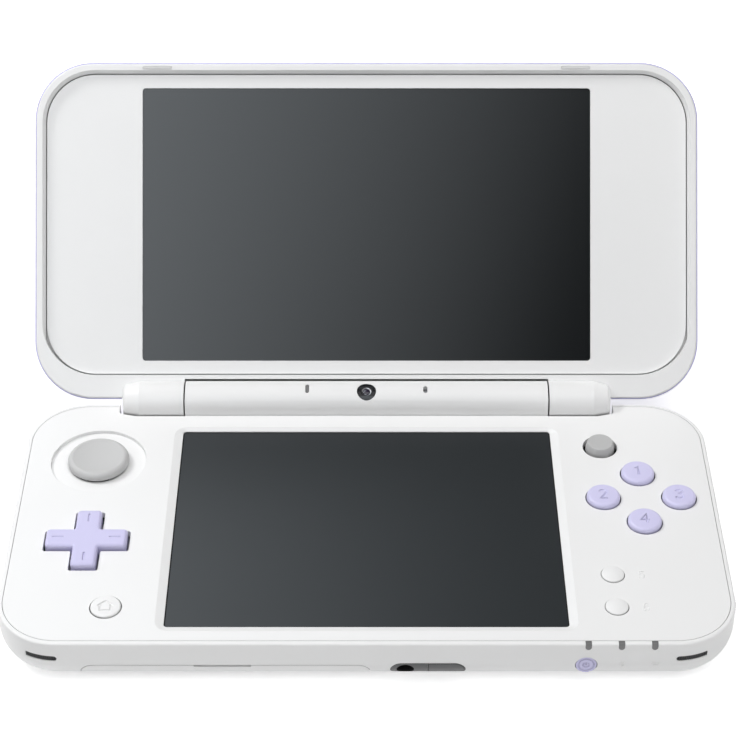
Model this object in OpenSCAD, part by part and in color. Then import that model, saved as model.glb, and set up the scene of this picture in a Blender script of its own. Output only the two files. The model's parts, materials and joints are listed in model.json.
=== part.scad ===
// Clamshell handheld game console, shown open.
// X runs to the right, Y to the back, Z up. The feet stand on Z = 0 and the
// base is centred on X = 0, Y = 0. The lid is drawn closed and then swung open.

/* [Body] */
// Width of the deck at each side of the lower window
side_w = 36.5; // [35:0.1:44]
// Width of the deck in front of the lower window
front_w = 5.8; // [5.5:0.1:7]
// Width of the deck behind the lower window
back_w = 9.8; // [9:0.1:12]
// Corner radius of both halves, seen from above
corner_r = 14; // [12:0.5:16]
// Height of the base, from the feet to the deck
base_h = 12.8; // [12.6:0.1:14]
// Radius of the rounded bottom edge of the base
base_edge = 7.4; // [7:0.1:8.6]
// Radius of the small round at the top of the base rim
rim_round = 0.5; // [0.3:0.1:0.6]
// Wall thickness of the base moulding
base_wall = 1.5; // [1.3:0.1:1.6]
// Width of the rim beside the deck plate
rim_w = 1.05; // [1:0.05:1.2]
// Groove between the rim and the deck plate
deck_groove = 0.1; // [0.05:0.05:0.15]
// Thickness of the deck plate
deck_t = 1.6; // [1.5:0.1:1.8]

/* [Lid] */
// Thickness of the lid
lid_t = 7.7; // [7.5:0.1:9]
// Gap between the closed lid and the deck
lid_gap = 0.3; // [0.2:0.05:0.4]
// Angle of the open lid from closed
open_angle = 128.1; // [90:0.1:150]
// Radius of the rounded edge of the lid cover
lid_edge = 5.5; // [4:0.1:5.8]
// Wall thickness of the lid cover
cover_wall = 1.3; // [1.1:0.1:1.4]
// How far the inner frame stays inside the cover's edge
cover_lap = 0.35; // [0.3:0.05:0.5]
// Height of the frame's visible rim below the cover's edge
frame_rim = 0.6; // [0.4:0.1:0.8]
// Depth of the recess round the upper screen
recess_d = 1.6; // [1.5:0.1:1.8]
// Width of the frame's rim at the sides of the recess
rim_side = 1.8; // [1.6:0.1:3]
// Width of the frame's rim at the lid's free edge
rim_front = 1.85; // [1.7:0.05:3]
// Draft of the recess walls beside that rim
recess_draft = 0.65; // [0.4:0.05:1]
// Width of the frame's chin at the hinge
chin_w = 5.9; // [5.5:0.05:6.5]
// Number of fine ribs pressed into the lid cover
rib_n = 30; // [10:1:36]
// Pitch of those ribs
rib_pitch = 2; // [1.6:0.1:2.2]

/* [Hinge] */
// Radius of the hinge barrel and of the lid's knuckles
barrel_r = 4.9; // [4.6:0.1:5]
// Distance from the side of the base to the end of a knuckle
hinge_inset = 21.5; // [20.5:0.1:26]
// Length of each lid knuckle
knuckle_l = 14.7; // [13:0.1:16]
// Length of the tapered end of a knuckle
knuckle_nose = 4; // [3:0.1:5]
// Radius of a knuckle at the tip of its taper
knuckle_tip_r = 4.2; // [3.8:0.1:4.6]
// Radius of the round at that tip
knuckle_round = 1.1; // [0.8:0.1:1.4]
// Gap between a knuckle and the barrel
knuckle_gap = 0.35; // [0.15:0.05:0.4]
// Running gap round a knuckle in its trough
trough_gap = 0.3; // [0.25:0.05:0.4]
// Gap at the end of a knuckle in its trough
trough_end = 0.8; // [0.5:0.1:1.2]
// Height of the hinge axis above the deck
hinge_up = 0.4; // [0:0.05:0.6]
// Distance of the hinge axis behind the base
hinge_back = 0.5; // [0.4:0.1:1]
// Radius of the steel hinge pins
hinge_pin_r = 1.6; // [1.2:0.1:2]

/* [Screens] */
// Height of the picture of both screens
screen_h = 63.7; // [60:0.1:68]
// Width of the lower screen's window
low_w = 87; // [80:0.2:92]
// Margin of the lower window above and below its picture
low_margin = 1; // [0.5:0.05:1.2]
// Depth of the touch panel below the deck
low_sink = 0.85; // [0.7:0.05:0.9]
// Run of the sloped edge at the sides of the lower window
bevel_side = 1.9; // [1.2:0.1:2.2]
// Run of the sloped edge at the front of the lower window
bevel_front = 1.8; // [1.2:0.1:2]
// Run of the sloped edge at the back of the lower window
bevel_back = 1; // [0.8:0.1:1.2]
// Width of the upper screen's window
up_w = 108.4; // [100:0.2:116]
// Margin of the upper window above and below its picture
up_margin = 1.15; // [0.5:0.05:1.3]
// Place of the upper window's centre from the middle of the lid
up_y = -1.65; // [-2:0.05:-1]
// Depth of the upper glass below its bezel
up_sink = 0.4; // [0.3:0.05:0.5]

/* [Controls] */
// Distance from the side of the base to the circle pad and the direction pad
pad_inset = 17.5; // [17.5:0.1:19]
// Distance from the back of the base to the circle pad
pad_back = 21.25; // [20.5:0.05:22]
// Radius of the circle pad's round well
pad_well_r = 11.1; // [11:0.05:12]
// Depth of that well
pad_well = 0.8; // [0.5:0.1:0.9]
// Radius of the circle pad's cap
pad_cap_r = 7.1; // [7:0.05:7.6]
// Travel of the circle pad each way
pad_travel = 2.7; // [2:0.1:2.7]
// Height of the circle pad above the deck
pad_up = 1.55; // [1.3:0.05:1.6]
// Distance from the circle pad forward to the direction pad
dpad_pitch = 27.7; // [27:0.1:28]
// Length of the direction pad, tip to tip
dpad_l = 18.4; // [18:0.1:19.4]
// Width of each arm of the direction pad
dpad_w = 5.8; // [5.6:0.1:6.6]
// Height of the direction pad above the deck
dpad_up = 1.3; // [1:0.05:1.4]
// Radius of the corners of the direction pad
dpad_round = 0.6; // [0.4:0.1:1]
// Chamfer of its top edges
dpad_chamfer = 0.45; // [0.2:0.05:0.5]
// Rocking angle of the direction pad
dpad_tilt = 2.5; // [1:0.5:3]
// Distance from the side of the base to the middle of the face buttons
face_inset = 17.2; // [17:0.1:19]
// Distance from the back of the base to the middle of the face buttons
face_back = 34.45; // [33.5:0.05:35]
// Distance of the left and right face buttons from their middle
face_step_x = 8.65; // [8.4:0.05:9]
// Distance of the front and rear face buttons from their middle
face_step_y = 8.25; // [8.2:0.05:8.6]
// Radius of a face button
face_r = 3.95; // [3.8:0.05:4.1]
// Height of a face button above the deck
face_up = 1.2; // [0.9:0.05:1.3]
// Radius of the round at the top of a face button
face_round = 0.8; // [0.4:0.1:0.9]
// Distance from the side of the base to the two small round buttons
small_inset = 25.95; // [25.5:0.05:27]
// Radius of the two small round buttons
small_r = 2.5; // [2.3:0.05:2.8]
// Height of the small round buttons above the deck
small_up = 0.75; // [0.4:0.05:0.9]
// Distance from the front of the base to the rear small button
start_front = 21.45; // [20.5:0.05:22]
// Distance from the front of the base to the front small button
select_front = 11.3; // [10.5:0.05:11.8]
// Distance from the side of the base to the home button
home_inset = 23.7; // [23.5:0.1:25]
// Distance from the front of the base to the home button
home_front = 11.25; // [10.5:0.05:11.8]
// Radius of the home button
home_r = 3.4; // [3.2:0.05:3.7]
// Height of the home button above the deck
home_up = 0.55; // [0.2:0.05:0.7]
// Distance from the side of the base to the nub
nub_inset = 25.1; // [25:0.1:27]
// Distance from the back of the base to the nub
nub_back = 16.25; // [15.5:0.05:16.5]
// Radius of the nub
nub_r = 3.35; // [2.8:0.05:3.4]
// Radius of the nub's hole in the deck
nub_well_r = 4.05; // [3.8:0.05:4.2]
// Height of the nub above the deck
nub_up = 1.6; // [1.2:0.05:1.7]
// Side clearance of a button in its hole
button_gap = 0.15; // [0.1:0.05:0.2]
// Width of the flange that keeps a button in the deck
flange_w = 1; // [0.7:0.1:1]

/* [Edges] */
// Distance from the side of the base to the power button
power_inset = 33.1; // [32:0.1:34]
// Height of the power button
power_z = 6.5; // [6:0.1:6.6]
// Radius of the power button
power_r = 2.25; // [2.1:0.05:2.5]
// Distance from the side of the base to the nearest indicator window
led_inset = 18.8; // [18:0.1:20]
// Pitch of the indicator windows
led_pitch = 7.05; // [6:0.05:7.5]
// Width of an indicator window
led_w = 1.36; // [1:0.02:1.6]
// Height of an indicator window
led_h = 1.65; // [1.2:0.05:1.8]
// Bottom of the speaker slots
slot_z = 7.8; // [7.6:0.1:8.2]
// Height of the speaker slots
slot_h = 1.4; // [1:0.1:1.6]
// Angle that a speaker slot follows round the corner
slot_angle = 32; // [25:1:36]
// Distance from the side of the base to the card flap
flap_inset = 18.8; // [18:0.1:20]
// Right end of the card flap
flap_x1 = 0.75; // [0:0.05:1]
// Top of the card flap
flap_top = 6.4; // [6.2:0.1:6.8]
// Thickness of the card flap
flap_t = 1.2; // [1:0.1:1.3]
// Radius of the top corners of the card flap
flap_round = 2.7; // [1:0.1:3]
// Middle of the dark socket panel
panel_x = 13.15; // [13:0.05:13.6]
// Height of the middle of the socket panel
panel_z = 4.7; // [4.6:0.1:5]
// Length of the socket panel
panel_w = 16.1; // [16:0.1:17]
// Height of the socket panel
panel_h = 4.8; // [4.6:0.1:5]
// Distance from the end of the socket panel to the headphone socket
jack_inset = 3.2; // [3.1:0.05:3.5]
// Radius of the headphone socket's bore
jack_r = 1.75; // [1.7:0.01:1.8]
// Radius of the stylus
stylus_r = 2.1; // [1.8:0.1:2.1]
// Length of the stylus
stylus_l = 70; // [60:1:71]
// Middle of the volume slider
volume_y = -13; // [-15:0.1:-12]
// Travel of the volume slider each way
volume_travel = 5; // [3:0.1:5]
// Thickness of the shoulder buttons
shoulder_t = 2.6; // [2.2:0.1:2.7]
// Width of the shoulder buttons along the back
shoulder_w = 18.5; // [17:0.1:18.6]
// Length of the shoulder buttons along the sides
shoulder_d = 9.4; // [8.4:0.1:9.6]
// Distance from the side of the base to a small trigger
trigger_inset = 19.7; // [19.6:0.1:22]
// Width of a small trigger
trigger_w = 13.8; // [10:0.1:14]
// Travel of the small triggers
trigger_travel = 0.6; // [0.3:0.1:0.6]

/* [Underside] */
// How far the feet stand below the underside
foot_proud = 0.3; // [0.2:0.05:0.4]
// Radius of a foot
foot_r = 3.4; // [3:0.1:4]
// Distance from the side of the base to the bottom cover
cover_side = 14; // [12:0.5:18]
// Distance from the front and the back of the base to the bottom cover
cover_end = 10.9; // [10.4:0.1:13]
// Thickness of the bottom cover
cover_t = 0.75; // [0.6:0.05:0.8]
// Distance between the two outer cameras
camera_pitch = 35; // [30:1:40]

/* [Hidden] */
$fn = 48;

white = "white";
lavender = [0.78, 0.75, 0.93];
grey = [0.78, 0.78, 0.78];
dark = [0.2, 0.21, 0.22];
steel = [0.7, 0.7, 0.72];
rubber = [0.3, 0.3, 0.32];
board_green = [0.1, 0.35, 0.2];

// clearances that several pieces share
slip = 0.05;
fit = 0.15;
over = 1;
lens_fit = 0.03;
contact_fit = 0.03;

// the outline: the lower screen's window and the deck round it
low_h = screen_h + 2 * low_margin;
up_h = screen_h + 2 * up_margin;
body_w = low_w + 2 * side_w;
body_d = low_h + front_w + back_w;
low_y = (front_w - back_w) / 2;

// heights of the base
deck_z = base_h;
plate_z = deck_z - deck_t;
under_z = foot_proud;
floor_z = under_z + base_wall;
edge_z = under_z + base_edge;

// the stack under the deck plate
board_t = 0.8;
board_top = plate_z - 2.3;
board_z = board_top - board_t;
rubber_top = board_top + 0.45;
rubber_lap = 0.4;
flange_top = plate_z - 0.1;
flange_t = 0.75;
press_room = 0.75;
key_l = 0.5;
key_w = 1.6;

// places that follow the outline
pad_x = -(body_w / 2 - pad_inset);
pad_y = body_d / 2 - pad_back;
dpad_y = pad_y - dpad_pitch;
face_x = body_w / 2 - face_inset;
face_y = body_d / 2 - face_back;
small_x = body_w / 2 - small_inset;
start_y = -body_d / 2 + start_front;
select_y = -body_d / 2 + select_front;
home_x = -(body_w / 2 - home_inset);
home_y = -body_d / 2 + home_front;
nub_x = body_w / 2 - nub_inset;
nub_y = body_d / 2 - nub_back;
power_x = body_w / 2 - power_inset;
led_xs = [for (i = [0:2]) body_w / 2 - led_inset - i * led_pitch];
flap_x0 = -body_w / 2 + flap_inset;
shoulder_x = body_w / 2 - shoulder_w;
shoulder_y = body_d / 2 - shoulder_d;
trigger_x1 = body_w / 2 - trigger_inset;
trigger_x0 = trigger_x1 - trigger_w;
cover_w = body_w - 2 * cover_side;
cover_d = body_d - 2 * cover_end;
face_places = [[face_x, face_y + face_step_y], [face_x - face_step_x, face_y],
               [face_x + face_step_x, face_y], [face_x, face_y - face_step_y]];
small_places = [[small_x, start_y], [small_x, select_y]];

// the hinge
hinge_y = body_d / 2 + hinge_back;
hinge_z = deck_z + hinge_up;
knuckle_end = body_w / 2 - hinge_inset;
knuckle_x = knuckle_end - knuckle_l;
barrel_x = knuckle_x - knuckle_gap;
trough_r = barrel_r + trough_gap;
trough_x = knuckle_end + trough_end;
trough_wall = 1.1;
slot_gap = 0.5;
pin_l = 10;

// heights of the closed lid
lid_z = deck_z + lid_gap;
lid_top = lid_z + lid_t;
recess_z = lid_z + recess_d;
bezel_t = 0.95;
bezel_back = recess_z + bezel_t;
up_glass_z = recess_z + up_sink;
up_glass_t = 0.7;
up_lcd_z = up_glass_z + up_glass_t;
up_lcd_t = 2.4;
up_lcd_margin = [6, 3];
frame_top = bezel_back + 1.5;

// the front edge: a point of the rounded edge at height z
function edge_in(z, r) = sqrt(r * r - (edge_z - z) * (edge_z - z));
function front_y(z, depth) = -(body_d / 2 - base_edge) - edge_in(z, base_edge - depth);

// the card flap turns on pins near its lower edge
flap_pin_r = 0.45;
flap_pin_z = under_z + 1.35;
flap_pin_y = front_y(flap_pin_z, 0.65);
flap_lug_r = 0.6;
flap_room_r = 0.9;
flap_radial = [flap_pin_y + body_d / 2 - base_edge, flap_pin_z - edge_z];
flap_out = flap_radial / norm(flap_radial);
flap_up = [flap_out[1], -flap_out[0]];

// the card slot
card_w = 34;
card_h = 4.2;
card_z = floor_z + 0.4;
card_x = -22;
card_y = -body_d / 2 + 7.9;
card_d = 35;
cage_t = 0.3;
memory_w = 11;
memory_x = card_x - card_w / 2 - 13.4;

// the stylus and its housing
jack_x = panel_x - panel_w / 2 + jack_inset;
stylus_x = panel_x + 3.95;
stylus_butt_x = panel_x + 0.15;
stylus_bore_y = -body_d / 2 + 4;
stylus_wall = 1;
stylus_fit = 0.08;
stylus_tip_r = 0.7;
stylus_tip_l = 6;
stylus_short = 10;

// the headphone socket's body
jack_w = 7;
jack_h = 5;
jack_l = 12;

// the shoulder buttons
shoulder_z = [4.6, plate_z - 0.6];
shoulder_pin = [shoulder_x + 1.9, body_d / 2 - 3.9];
shoulder_pin_r = 0.8;

// the triggers
trigger_z = [floor_z + 0.25, hinge_z - trough_r - trough_wall - 0.4];
trigger_flange_y = body_d / 2 - 7.2;

// the volume slider
volume_z = edge_z + 1.1;
volume_knob = [5, 1.8];

// the power button
power_boss_y = -body_d / 2 + 3.1;
power_flange_r = power_r + 0.45;
power_flange_t = 0.5;
power_travel = 0.4;

// ------------------------------------------------------------ shared shapes

// a rounded rectangle with true round corners
module rounded_rect(w, d, r) {
    square([w - 2 * r, d], center = true);
    square([w, d - 2 * r], center = true);
    for (sx = [-1, 1])
        for (sy = [-1, 1])
            translate([sx * (w / 2 - r), sy * (d / 2 - r)])
                circle(r);
}

module slab(w, d, r, z0, z1) {
    translate([0, 0, z0])
        linear_extrude(z1 - z0)
            rounded_rect(w, d, r);
}

module box(x, y, z) {
    translate([x[0], y[0], z[0]])
        cube([x[1] - x[0], y[1] - y[0], z[1] - z[0]]);
}

module post(x, y, r, z0, z1) {
    translate([x, y, z0])
        cylinder(r = r, h = z1 - z0);
}

// half the section of a band whose lower outer edge is a quarter round
module band_section(x, e) {
    intersection() {
        translate([x - e, e])
            circle(e);
        translate([x - e, 0])
            square(e);
    }
    square([x - e, e]);
}

// a band of height e, its lower outer edge rounded all the way round
module round_band(w, d, r, e) {
    for (sx = [-1, 1])
        for (sy = [-1, 1])
            translate([sx * (w / 2 - r), sy * (d / 2 - r), 0])
                rotate_extrude()
                    band_section(r, e);
    rotate([90, 0, 0])
        linear_extrude(d - 2 * r, center = true)
            for (m = [0, 1])
                mirror([m, 0])
                    band_section(w / 2, e);
    rotate([90, 0, 90])
        linear_extrude(w - 2 * r, center = true)
            for (m = [0, 1])
                mirror([m, 0])
                    band_section(d / 2, e);
}

// a block with its bottom edge rounded by e and its top edge by t
module tub(w, d, r, e, t, z0, z1) {
    translate([0, 0, z0])
        round_band(w, d, r, e);
    slab(w, d, r, z0 + e, z1 - t);
    if (t > 0)
        translate([0, 0, z1])
            mirror([0, 0, 1])
                round_band(w, d, r, t);
}

// the outside of the base, drawn in by depth
module base_block(depth = 0) {
    tub(body_w - 2 * depth, body_d - 2 * depth, corner_r - depth,
        base_edge - depth, depth > 0 ? 0 : rim_round, under_z + depth, deck_z);
}

// a rod along X, centred on the hinge axis
module hinge_rod(r, x0, x1) {
    translate([x0, hinge_y, hinge_z])
        rotate([0, 90, 0])
            cylinder(r = r, h = x1 - x0);
}

// a knuckle on the right from x0 on: a rod with a tapered, rounded end,
// grown by g and lengthened by e
module knuckle(x0, g, e) {
    tip = knuckle_tip_r + g;
    end = knuckle_end + e;
    translate([0, hinge_y, hinge_z])
        rotate([0, 90, 0])
            rotate_extrude() {
                polygon([[0, x0], [barrel_r + g, x0], [barrel_r + g, end - knuckle_nose],
                         [tip, end - knuckle_round], [tip - knuckle_round, end], [0, end]]);
                translate([tip - knuckle_round, end - knuckle_round])
                    circle(knuckle_round);
            }
}

// the trough that the barrel and the knuckles lie in
module trough() {
    hinge_rod(barrel_r + slip, -knuckle_x, knuckle_x);
    both_sides()
        knuckle(barrel_x, trough_gap, trough_end);
}

// swings a closed lid piece open about the hinge axis
module opened() {
    translate([0, hinge_y, hinge_z])
        rotate([-open_angle, 0, 0])
            translate([0, -hinge_y, -hinge_z])
                children();
}

// a flat shape of the front wall, extruded from y0 back to y1
module front_cut(y0, y1) {
    translate([0, y1, 0])
        rotate([90, 0, 0])
            linear_extrude(y1 - y0)
                children();
}

module pill(w, h) {
    square([w - h, h], center = true);
    for (s = [-1, 1])
        translate([s * (w - h) / 2, 0])
            circle(h / 2);
}

module both_sides() {
    children();
    mirror([1, 0, 0])
        children();
}

// ---------------------------------------------------------------- the base

foot_places = [[cover_w / 2 - 9, cover_d / 2 - 5], [-cover_w / 2 + 9, cover_d / 2 - 5],
               [cover_w / 2 - 9, -cover_d / 2 + 5], [-cover_w / 2 + 9, -cover_d / 2 + 5]];
screw_places = [[cover_w / 2 - 3.5, cover_d / 2 - 12], [-cover_w / 2 + 3.5, cover_d / 2 - 12],
                [cover_w / 2 - 3.5, -cover_d / 2 + 12], [-cover_w / 2 + 3.5, -cover_d / 2 + 12]];
screw_r = 0.8;
screw_head_r = 1.7;
screw_head_t = 0.5;
screw_boss_r = 2.2;
screw_boss_top = floor_z + 2.6;
camera_y = cover_d / 2 - 6;
camera_r = 2.6;

// the flap's place in the front wall, grown by g; its top corners are round
// and its lower edge is square to the wall
module flap_region(g) {
    low = [flap_pin_y, flap_pin_z] - g * flap_up;
    outer = low + 3 * flap_out;
    inner = low - flap_out;
    w = flap_x1 - flap_x0 + 2 * g;
    r = flap_round + g;
    intersection() {
        translate([flap_x0 - g, 0, 0])
            rotate([90, 0, 90])
                linear_extrude(w)
                    polygon([outer, inner, [inner[0], flap_top + g],
                             [-body_d / 2 - over, flap_top + g], [-body_d / 2 - over, outer[1]]]);
        front_cut(-body_d / 2 - 2 * over, flap_pin_y + 2 * over)
            translate([(flap_x0 + flap_x1) / 2, flap_top + g - body_d / 2])
                rounded_rect(w, body_d, r);
    }
}

module flap_rod(r, x0, x1) {
    translate([x0, flap_pin_y, flap_pin_z])
        rotate([0, 90, 0])
            cylinder(r = r, h = x1 - x0);
}

// the speaker slot at the right front corner, with round ends
module speaker_slot() {
    r_in = corner_r - base_wall - over;
    end_angle = atan(slot_h / 2 / corner_r);
    translate([body_w / 2 - corner_r, -body_d / 2 + corner_r, slot_z + slot_h / 2])
        rotate([0, 0, -90 + end_angle]) {
            rotate_extrude(angle = slot_angle - 2 * end_angle)
                translate([r_in, -slot_h / 2])
                    square([corner_r + over - r_in, slot_h]);
            for (a = [0, slot_angle - 2 * end_angle])
                rotate(a)
                    translate([r_in, 0, 0])
                        rotate([0, 90, 0])
                            cylinder(r = slot_h / 2, h = corner_r + over - r_in);
        }
}

// the window of a right shoulder button, grown by g
module shoulder_region(g) {
    box([shoulder_x - g, body_w / 2 + over], [shoulder_y - 4 * g, body_d / 2 + over],
        [shoulder_z[0] - g, shoulder_z[1] + g]);
}

module trigger_region(g, y0) {
    box([trigger_x0 - g, trigger_x1 + g], [y0, body_d / 2 + over],
        [trigger_z[0] - g, trigger_z[1] + g]);
}

// the indicator windows, round at their lower ends, grown by g
module led_windows(g) {
    for (x = led_xs)
        translate([x, deck_z - led_h + led_w / 2]) {
            circle(led_w / 2 + g);
            translate([-led_w / 2 - g, 0])
                square([led_w + 2 * g, led_h + over]);
        }
}

module volume_region(grow, x1) {
    box([-body_w / 2 - over, x1],
        [volume_y - volume_knob[0] / 2 - grow, volume_y + volume_knob[0] / 2 + grow],
        [volume_z - volume_knob[1] / 2 - fit, volume_z + volume_knob[1] / 2 + fit]);
}

module case_windows() {
    flap_region(fit);
    flap_rod(flap_room_r, flap_x0 - fit, flap_x1 + fit);
    flap_rod(flap_pin_r + slip, flap_x0 - 1.2, flap_x1 + 1.2);
    front_cut(-body_d / 2 - over, stylus_bore_y + over)
        translate([panel_x, panel_z])
            pill(panel_w + 2 * slip, panel_h + 2 * slip);
    box([jack_x - jack_w / 2 - slip, jack_x + jack_w / 2 + slip],
        [stylus_bore_y, stylus_bore_y + jack_l + fit],
        [panel_z - jack_h / 2 - slip, panel_z + jack_h / 2 + slip]);
    both_sides() {
        speaker_slot();
        shoulder_region(fit);
        trigger_region(fit, trigger_flange_y - trigger_travel - fit);
    }
    front_cut(-body_d / 2 - over, -body_d / 2 + rim_w + over)
        led_windows(0);
    volume_region(volume_travel + fit, -body_w / 2 + base_wall + over);
    box([-port_w / 2, port_w / 2], [body_d / 2 - 6, body_d / 2 + over],
        [port_z - port_h / 2, port_z + port_h / 2]);
    box([ir_x - ir_w / 2, ir_x + ir_w / 2], [body_d / 2 - 6, body_d / 2 + over],
        [port_z - port_h / 2, port_z + port_h / 2]);
}

port_w = 9.2;
port_h = 3.4;
port_z = 4.7;
ir_x = -18;
ir_w = 9;

module bottom_case() color(white) {
    difference() {
        union() {
            difference() {
                base_block();
                base_block_cavity();
                case_windows();
            }
            // the wall round the hinge trough
            intersection() {
                base_block(slip);
                difference() {
                    both_sides()
                        knuckle(0, trough_gap + trough_wall, trough_end + trough_wall);
                    slab(body_w, body_d, corner_r, plate_z, deck_z + over);
                }
            }
            // the housing of the stylus
            difference() {
                intersection() {
                    base_block(slip);
                    box([stylus_x - stylus_r - stylus_wall, stylus_x + stylus_r + stylus_wall],
                        [stylus_bore_y, stylus_bore_y + stylus_l],
                        [floor_z - slip, board_z - 0.2]);
                }
                translate([stylus_x, stylus_bore_y - over, panel_z])
                    rotate([-90, 0, 0])
                        cylinder(r = stylus_r + stylus_fit, h = stylus_l + 2 * over);
            }
            // the block behind the power button
            intersection() {
                base_block(slip);
                box([power_x - 4, power_x + 4], [-body_d / 2, power_boss_y], [floor_z - slip, board_top]);
            }
            // bosses for the screws and pins for the shoulder buttons
            for (p = screw_places)
                post(p[0], p[1], screw_boss_r, floor_z - slip, screw_boss_top);
            both_sides()
                intersection() {
                    base_block(slip);
                    post(shoulder_pin[0], shoulder_pin[1], shoulder_pin_r, floor_z, plate_z);
                }
        }
        trough();
        translate([power_x, -body_d / 2 - over, power_z])
            rotate([-90, 0, 0])
                cylinder(r = power_r + button_gap, h = 9);
        translate([power_x, power_boss_y, power_z])
            rotate([-90, 0, 0])
                cylinder(r = power_flange_r + fit, h = 3);
        // the seat of the bottom cover
        slab(cover_w + 2 * fit, cover_d + 2 * fit, 5 + fit, under_z - over, under_z + cover_t + slip);
        for (p = screw_places)
            post(p[0], p[1], screw_r + slip, 0, screw_boss_top + over);
        for (s = [-1, 1])
            post(s * camera_pitch / 2, camera_y, camera_r + fit, 0, floor_z + over);
    }
}

// the space inside the base, with the wider seat of the deck plate on top
module base_block_cavity() {
    tub(body_w - 2 * base_wall, body_d - 2 * base_wall, corner_r - base_wall,
        base_edge - base_wall, 0, floor_z, deck_z + over);
    slab(body_w - 2 * rim_w, body_d - 2 * rim_w, corner_r - rim_w, plate_z, deck_z + over);
}

module cross(l, w) {
    square([l, w], center = true);
    square([w, l], center = true);
}

// the sloped opening round the lower screen
module low_bevel() {
    r_low = 0.8;
    r_top = 3;
    lip = 0.25;
    z_low = deck_z - low_sink + lip;
    x_low = low_w / 2;
    x_top = low_w / 2 + bevel_side;
    y_low = [low_y - low_h / 2, low_y + low_h / 2];
    y_top = [low_y - low_h / 2 - bevel_front, low_y + low_h / 2 + bevel_back];
    hull() {
        for (s = [-1, 1])
            for (k = [0, 1]) {
                translate([s * (x_low - r_low), y_low[k] + (1 - 2 * k) * r_low, z_low])
                    cylinder(r = r_low, h = 0.01, $fn = 16);
                translate([s * (x_top - r_top), y_top[k] + (1 - 2 * k) * r_top, deck_z])
                    cylinder(r = r_top, h = 0.01, $fn = 32);
            }
    }
    translate([0, low_y, 0])
        slab(low_w, low_h, r_low, plate_z - over, deck_z);
}

module deck_plate() color(white) {
    difference() {
        slab(body_w - 2 * rim_w - 2 * deck_groove, body_d - 2 * rim_w - 2 * deck_groove,
             corner_r - rim_w - deck_groove, plate_z + 0.02, deck_z);
        trough();
        low_bevel();
        // the seat of the touch panel
        translate([0, low_y, 0])
            slab(low_w + 3, low_h + 3, 1, plate_z - over, deck_z - low_sink);
        // the circle pad's well and the hole in its floor
        post(pad_x, pad_y, pad_well_r, deck_z - pad_well, deck_z + over);
        post(pad_x, pad_y, pad_stem_r + pad_travel * sqrt(2) + 2 * fit, plate_z - over, deck_z);
        translate([pad_x, dpad_y, plate_z - over])
            linear_extrude(deck_t + 2 * over)
                dpad_outline(dpad_gap);
        for (p = face_places)
            post(p[0], p[1], face_r + button_gap, plate_z - over, deck_z + over);
        for (p = small_places)
            post(p[0], p[1], small_r + button_gap, plate_z - over, deck_z + over);
        post(home_x, home_y, home_r + button_gap, plate_z - over, deck_z + over);
        post(nub_x, nub_y, nub_well_r, plate_z - over, deck_z + over);
    }
}

module bottom_cover() color(white) {
    difference() {
        slab(cover_w, cover_d, 5, under_z, under_z + cover_t);
        for (p = screw_places) {
            post(p[0], p[1], screw_r + slip, 0, under_z + 2);
            post(p[0], p[1], screw_head_r + slip, 0, under_z + screw_head_t);
        }
        for (p = foot_places)
            post(p[0], p[1], foot_r + slip, 0, under_z + 0.4);
        for (s = [-1, 1])
            post(s * camera_pitch / 2, camera_y, camera_r + fit, 0, under_z + 2);
    }
}

barrel_bore_r = barrel_r - 1.3;
barrel_sink = 0.1;
clutch_l = 13;
barrel_led_x = -14.2;
barrel_mic_x = 14.1;

// turns a radial feature of the barrel to its angle above the front horizontal
module on_barrel(x, elevation) {
    translate([x, hinge_y, hinge_z])
        rotate([90 - elevation, 0, 0])
            children();
}

module hinge_barrel() color(white) {
    difference() {
        hinge_rod(barrel_r, -barrel_x, barrel_x);
        hinge_rod(barrel_bore_r, -barrel_x - over, barrel_x + over);
        on_barrel(0, 69)
            cylinder(r = 2.3, h = barrel_r + over);
        on_barrel(barrel_led_x, 78)
            linear_extrude(barrel_r + over)
                rotate(90)
                    pill(2.6, 0.9);
        on_barrel(barrel_mic_x, 74.5)
            linear_extrude(barrel_r + over)
                rotate(90)
                    pill(2, 1);
    }
}

module hinge_pins() color(steel)
    both_sides() {
        hinge_rod(barrel_bore_r - slip, barrel_x - clutch_l, barrel_x - 0.1);
        hinge_rod(hinge_pin_r, barrel_x - clutch_l + 1, knuckle_x + pin_l);
    }

module inner_camera() color(dark)
    difference() {
        union() {
            intersection() {
                hinge_rod(barrel_r - barrel_sink, -3, 3);
                on_barrel(0, 69)
                    translate([0, 0, 1.6])
                        cylinder(r = 2.25, h = barrel_r);
            }
            on_barrel(0, 69)
                translate([0, 0, 1])
                    cylinder(r = 1.6, h = 1);
        }
        on_barrel(0, 69)
            translate([0, 0, barrel_r - 0.6])
                cylinder(r1 = 0.9, r2 = 1.5, h = 0.6);
    }

module notification_led() color([0.9, 0.9, 0.88])
    intersection() {
        hinge_rod(barrel_r - barrel_sink, barrel_led_x - 1, barrel_led_x + 1);
        on_barrel(barrel_led_x, 78)
            translate([0, 0, 2.6])
                linear_extrude(barrel_r)
                    rotate(90)
                        pill(2.6 - 2 * slip, 0.9 - 2 * slip);
    }

module microphone() color(steel)
    on_barrel(barrel_mic_x, 74.5)
        translate([0, 0, 1.8])
            cylinder(r = 1.5, h = 1.5);

lcd_margin = [6.2, 1];
frame_wall = [1.2, 0.8];
frame_gap = 0.15;
lcd_top = plate_z - 0.05;
touch_t = 0.6;
touch_z = deck_z - low_sink - touch_t - 0.02;

module screen_frame() color(steel)
    translate([0, low_y, 0])
        difference() {
            slab(low_w + lcd_margin[0] + 2 * frame_wall[0], low_h + lcd_margin[1] + 2 * frame_wall[1],
                 1.5, board_top + 0.02, lcd_top - 0.05);
            slab(low_w + lcd_margin[0] + 2 * frame_gap, low_h + lcd_margin[1] + 2 * frame_gap,
                 1, board_top + 0.2, touch_z);
        }

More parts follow.
